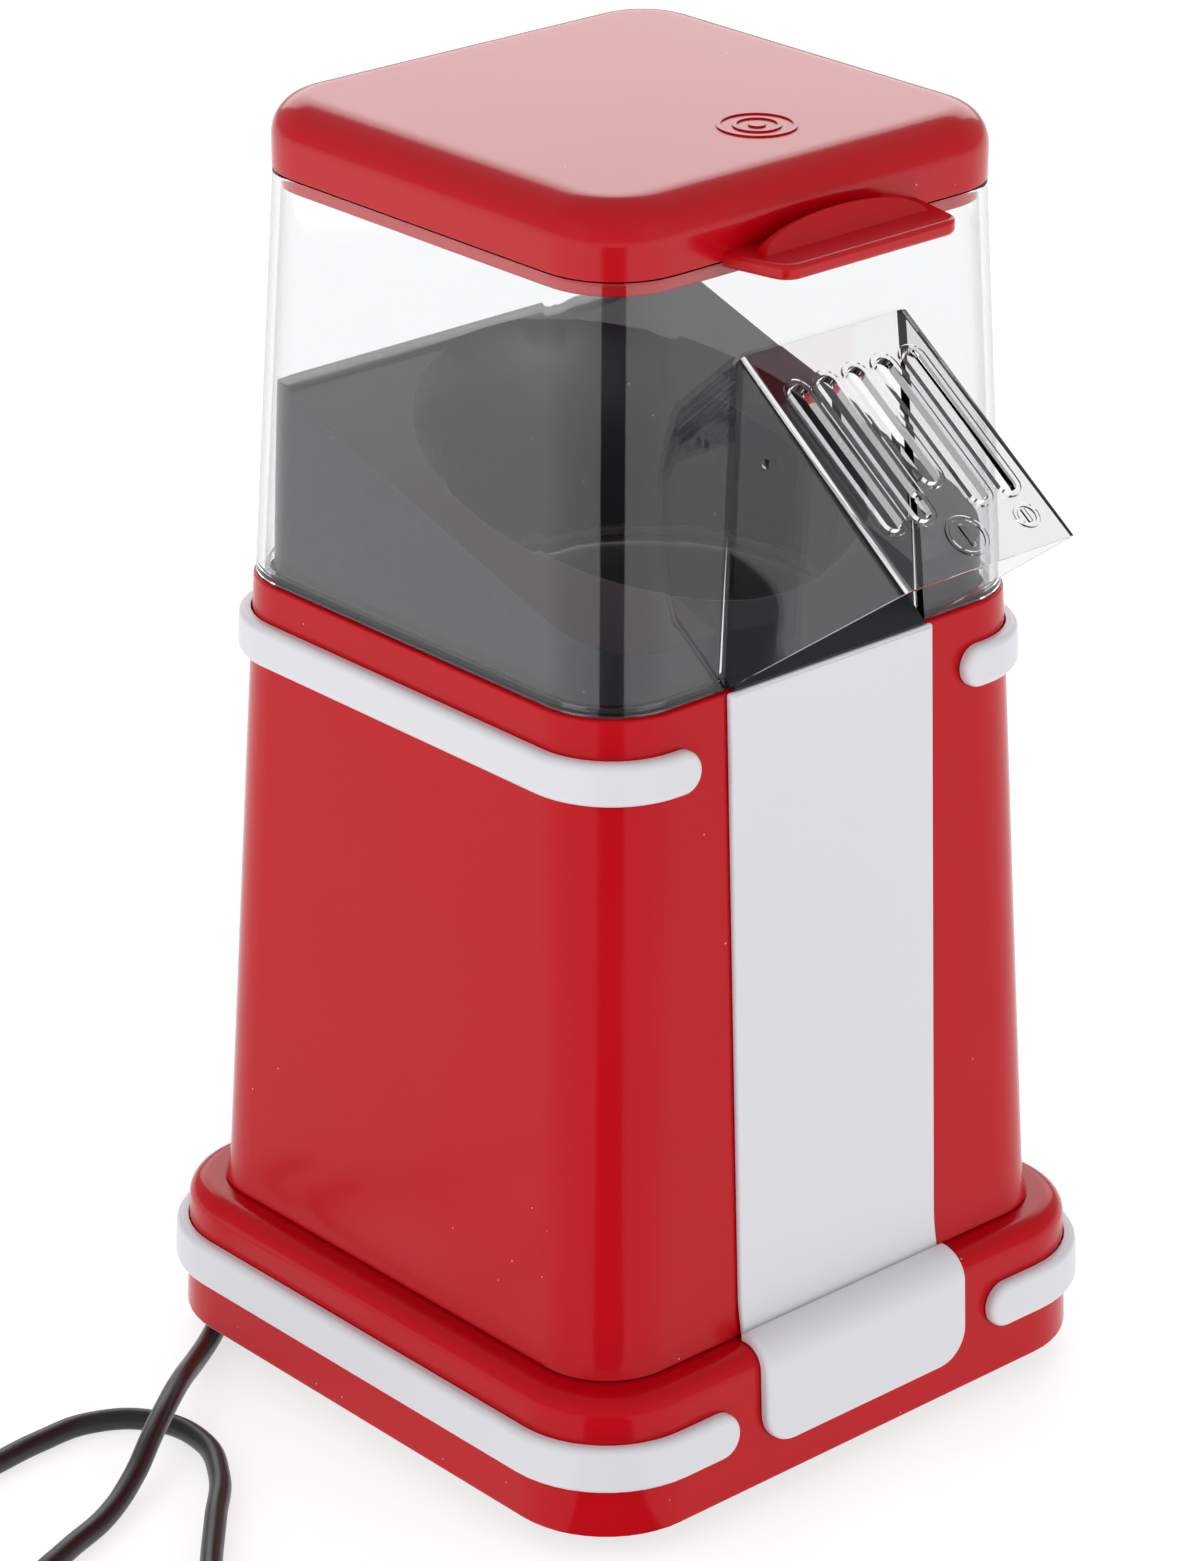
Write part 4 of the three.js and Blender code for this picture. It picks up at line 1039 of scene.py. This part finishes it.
# ---- Power switch ----
# A stock rocker switch snapped into the rear wall: a black frame with a sunk pocket, and a red
# rocker with a hollow face that tips between off and on.
x, y, z = SWITCH
frame_block = shape_box((x - 11.4, y - 18, z - 7.2), (x + 11.4, y + 3, z + 7.2), 0.5)
bezel = shape_box((x - 13, y + 2.6, z - 8.7), (x + 13, y + 3.9, z + 8.7), 0.6)
pocket = shape_box((x - 9.8, y - 5.4, z - 5.8), (x + 9.8, y + 5, z + 5.8))
switch_frame = carve(frame_block, [bezel], "UNION")
switch_frame = carve(switch_frame, [pocket])
make_piece("switch_frame", switch_frame, black_plastic, "base", "black_plastic", "switch_body")

ROCKER_REST = math.radians(-8)
rocker_red = moulding(
    "rocker_red", (0.42, 0.012, 0.012), (0.34, 0.008, 0.008), (0.28, 0.38), grain=1200
)
rocker_side = [(-4.7, 4.2), (-2.4, 3.4), (0, 3), (2.4, 3.4), (4.7, 4.2), (4.5, 0)]
rocker_side += [(0, -3.5), (-4.5, 0)]
rocker = prism([(out, up) for up, out in rocker_side], (-9.4, 9.4))
round_off(rocker, rocker.edges[:], 0.35, 2)
rocker_place = Matrix.Translation(SWITCH) @ Matrix.Rotation(ROCKER_REST, 4, "X")
bmesh.ops.transform(rocker, matrix=rocker_place, verts=rocker.verts)
make_piece("rocker_key", rocker, rocker_red, "rocker", "rocker", "switch_rocker")


# ---- Clear hood ----
# A crystal-clear polystyrene hood with 2 mm walls and a skirt that drops into the tower's rim.
# A wedge-shaped visor with five rimmed air slots throws the popcorn forward and down. Two
# plain ring marks and a small pip are raised on it.
VISOR_FOOT = (-65.7, 197)
VISOR_TIP = (-114.8, 233)
VISOR_ROOT = (-62, 271)
VISOR_WALL = 1.6
VISOR_HALF = 31
VISOR_FLARE = 0.0409
VISOR_TAPER = 0.0831
VISOR_INSIDE_Y = -50
SLOPE_STRETCH = 1.23
SLOT_PITCH = 8.5
visor_slope = (VISOR_ROOT[1] - VISOR_TIP[1]) / (VISOR_ROOT[0] - VISOR_TIP[0])


def visor_half(inset):
    """Gives a function for the visor's half width at a reach and a height, less an inset."""

    def half(y, z):
        wider = VISOR_FLARE * (y - VISOR_FOOT[0])
        narrower = VISOR_TAPER * (z - VISOR_FOOT[1])
        return VISOR_HALF + wider - narrower - inset

    return half


def on_slope(x, y):
    """Turns a shape that lies flat at the origin onto the visor's slope."""
    height = VISOR_ROOT[1] + visor_slope * (y - VISOR_ROOT[0])
    return Matrix.Translation((x, y, height)) @ Matrix.Rotation(math.atan(visor_slope), 4, "X")


def stadium(x, near, far, width, low, high):
    """A round-ended block standing on the visor's slope, from one y to another."""
    length = (near - far) / math.cos(math.atan(visor_slope))
    bm = bmesh.new()
    round_off(bm, flat_plate(bm, width / 2, length / 2), width / 2, 8, "VERTICES")
    bmesh.ops.remove_doubles(bm, verts=bm.verts, dist=0.01)
    pull_out(bm, (0, 0, high - low))
    place = on_slope(x, (near + far) / 2) @ Matrix.Translation((0, 0, low))
    bmesh.ops.transform(bm, matrix=place, verts=bm.verts)
    return bm


hood = bmesh.new()
hood_rows = [(63.75, 17, 196.8), (65.4, 18.7, 196.8), (65.7, 19, 197.1), (61.55, 19, 291.9)]
hood_rows += [(61.25, 18.8, 292.4), (59.8, 17.3, 292.4), (59.5, 17, 292.1), (63.6, 16.9, 198.8)]
hood_rows += [(62.35, 15.6, 198.8), (62.35, 15.6, 190.3), (62.6, 15.9, 190), (63.5, 16.8, 190)]
hood_rows += [(63.75, 17, 190.3)]
skin(hood, hood_rows)
drop = VISOR_WALL * SLOPE_STRETCH
inside_z = VISOR_ROOT[1] - drop + visor_slope * (VISOR_INSIDE_Y - VISOR_ROOT[0])
outer_side = [VISOR_TIP, VISOR_FOOT, (-63, 197), (-61.2, 271), VISOR_ROOT]
outer_wedge = prism(outer_side, (-1, 1), visor_half(0))
side_edges = [
    e
    for e in outer_wedge.edges
    if all(v.co.z > 230 and v.co.y < -61.5 for v in e.verts)
    and abs(e.verts[0].co.x - e.verts[1].co.x) < 9
]
round_off(outer_wedge, side_edges, 2.4, 6)
inner_wedge = prism(
    [
        (VISOR_TIP[0], VISOR_TIP[1] - drop),
        (VISOR_TIP[0], 225),
        (VISOR_FOOT[0], 189),
        (VISOR_INSIDE_Y, 189),
        (VISOR_INSIDE_Y, inside_z),
    ],
    (-1, 1),
    visor_half(VISOR_WALL),
)
rims = []
slots = []
for step in (-2, -1, 0, 1, 2):
    far = -97 if step == 0 else -103.3
    rims.append(stadium(step * SLOT_PITCH, -69.7, far - 1, 7, -1, 0.8))
    slots.append(stadium(step * SLOT_PITCH, -70.7, far, 4.5, -4, 4))


def raised_ring(radius, line, low, high):
    """A flat ring that lies at the origin, as wide as its line."""
    inner = radius - line
    outline = [(low, inner), (low, radius), (high, radius), (high, inner), (low, inner)]
    return turned_shape(outline, (0, 0, 1), (0, 0, 0), steps=40)


MARK_Y = -108.4
MARK_LOW, MARK_HIGH = -0.6, 0.5
marks = []
for x, radius in ((-1.5, 5.2), (16.5, 3.2)):
    ring_mark = raised_ring(radius, 0.9, MARK_LOW, MARK_HIGH)
    bar_reach = radius * 0.55
    bar_mark = shape_box((-0.5, -bar_reach, MARK_LOW), (0.5, bar_reach, MARK_HIGH))
    for shape in (ring_mark, bar_mark):
        bmesh.ops.transform(shape, matrix=on_slope(x, MARK_Y), verts=shape.verts)
        marks.append(shape)
pip = bmesh.new()
pip_place = Matrix.Translation((-26.1, -72.8, 250))
bmesh.ops.create_uvsphere(pip, u_segments=20, v_segments=12, radius=1.1, matrix=pip_place)
hood = carve(hood, [outer_wedge], "UNION")
hood = carve(hood, [inner_wedge])
hood = carve(hood, [*rims, *marks, pip], "UNION")
hood = carve(hood, slots)
crystal = moulding(
    "crystal",
    (0.945, 0.948, 0.952),
    (0.93, 0.933, 0.938),
    (0.0, 0.02),
    grain=60,
    depth=0.004,
    dust=0.02,
    patch=9,
    Transmission_Weight=1,
    IOR=1.5,
)
# Painted shade: clear plastic is drawn darker, its colour mixed towards dark grey by view angle,
# where the eye runs along the wall, as at its corners and cut edges.
nodes, links = crystal.node_tree.nodes, crystal.node_tree.links
shader = nodes["Principled BSDF"]
grazing = nodes.new("ShaderNodeLayerWeight")
grazing.inputs["Blend"].default_value = 0.5
along_wall = nodes.new("ShaderNodeMapRange")
along_wall.interpolation_type = "SMOOTHSTEP"
along_wall.inputs["From Min"].default_value = 0.45
along_wall.inputs["From Max"].default_value = 0.95
links.new(grazing.outputs["Facing"], along_wall.inputs["Value"])
# Painted shade: the base colour goes towards dark grey where the wall is seen edge on.
grazing_painted_shade = nodes.new("ShaderNodeMix")
grazing_painted_shade.data_type = "RGBA"
grazing_painted_shade.inputs["B"].default_value = (0.3, 0.31, 0.32, 1)
links.new(along_wall.outputs["Result"], grazing_painted_shade.inputs["Factor"])
links.new(shader.inputs["Base Color"].links[0].from_socket, grazing_painted_shade.inputs["A"])
links.new(grazing_painted_shade.outputs["Result"], shader.inputs["Base Color"])
clear_hood = make_piece("hood", hood, crystal, "hood", "clear_hood", "clear_hood", crease=30)
clear_hood.visible_shadow = False


# ---- Lid ----
# A shallow glossy red cap with broad round edges that lifts off the hood for filling. Its skirt
# fits inside the hood, a tongue at the front has a curved ridge for the finger, and two plain
# rings are raised on the top.
LID_CORNER = 42.8
LID_EDGE = 9
LID_EDGE_HALF = 52.5
LID_EDGE_Z = 300
LID_TOP = 309
LID_WALL = 2
LID_MARK = (6.8, -33.7, LID_TOP)
lid = bmesh.new()
lid_rows = [(59.3, 16.5, 292.7), (61.1, 18.3, 292.7), (61.4, 18.6, 292.85), (61.5, 18.7, 293.2)]
lid_rows += rounded_rows(LID_EDGE_HALF, LID_EDGE_Z, LID_EDGE, 0, 90, LID_CORNER, steps=12)
lid_rows += [(51, 8.2, LID_TOP)]
outer_loops = skin(lid, lid_rows, closed=False)
inner_rows = rounded_rows(
    LID_EDGE_HALF, LID_EDGE_Z, LID_EDGE - LID_WALL, 90, 0, LID_CORNER, steps=8
)
inner_rows += [(59.5, 16.7, 294.7), (57.8, 15, 294.7), (57.8, 15, 289.3), (58.1, 15.3, 289)]
inner_rows += [(59, 16.2, 289), (59.3, 16.5, 289.3)]
inner_loops = skin(lid, inner_rows, closed=False)
bmesh.ops.bridge_loops(lid, edges=inner_loops[-1] + outer_loops[0])
bmesh.ops.holes_fill(lid, edges=outer_loops[-1], sides=0)
bmesh.ops.holes_fill(lid, edges=inner_loops[0], sides=0)

tongue = bmesh.new()
plan = [(29, -61.2), (-29, -61.2), (-25.6, -78), (25.6, -78)]
tongue.faces.new([tongue.verts.new((x, y, 291.3)) for x, y in plan])
front_corners = [v for v in tongue.verts if v.co.y < -70]
round_off(tongue, front_corners, 4, 8, "VERTICES")
pull_out(tongue, (0, 0, 3.5))
long_way = [
    e
    for e in tongue.edges
    if abs(e.verts[0].co.z - e.verts[1].co.z) < 1 and min(v.co.y for v in e.verts) < -62
]
round_off(tongue, long_way, 1.1, 4)

ridge = bmesh.new()
crest = [(24 * math.cos(t), 294 + 6.2 * math.sin(t)) for t in [math.pi * k / 24 for k in range(25)]]
ridge.faces.new([ridge.verts.new((x, -69.5, z)) for x, z in crest])
pull_out(ridge, (0, 3, 0))
for v in ridge.verts:
    v.co.y += max(v.co.z - 294.5, 0) * (0.55 if v.co.y < -68 else 0.1)
lid = carve(lid, [tongue], "UNION")
lid = carve(lid, [ridge], "UNION")
lid_marks = [raised_ring(9, 1, -0.4, 0.35), raised_ring(5.5, 1, -0.4, 0.35)]
dot_profile = [(-0.4, 0), (-0.4, 2), (0.35, 2), (0.35, 0)]
lid_marks.append(turned_shape(dot_profile, (0, 0, 1), (0, 0, 0), steps=28))
for shape in lid_marks:
    bmesh.ops.translate(shape, vec=LID_MARK, verts=shape.verts)
lid = carve(lid, lid_marks, "UNION")
red_lid_abs = moulding(
    "red_lid_abs",
    (0.495, 0.0012, 0.0065),
    (0.465, 0.001, 0.0055),
    (0.14, 0.2),
    grain=240,
    depth=0.004,
    dust=0.25,
    patch=12,
    Specular_IOR_Level=0.37,
)
make_piece("lid_cap", lid, red_lid_abs, "lid_body", "red_lid", "lid", crease=40)
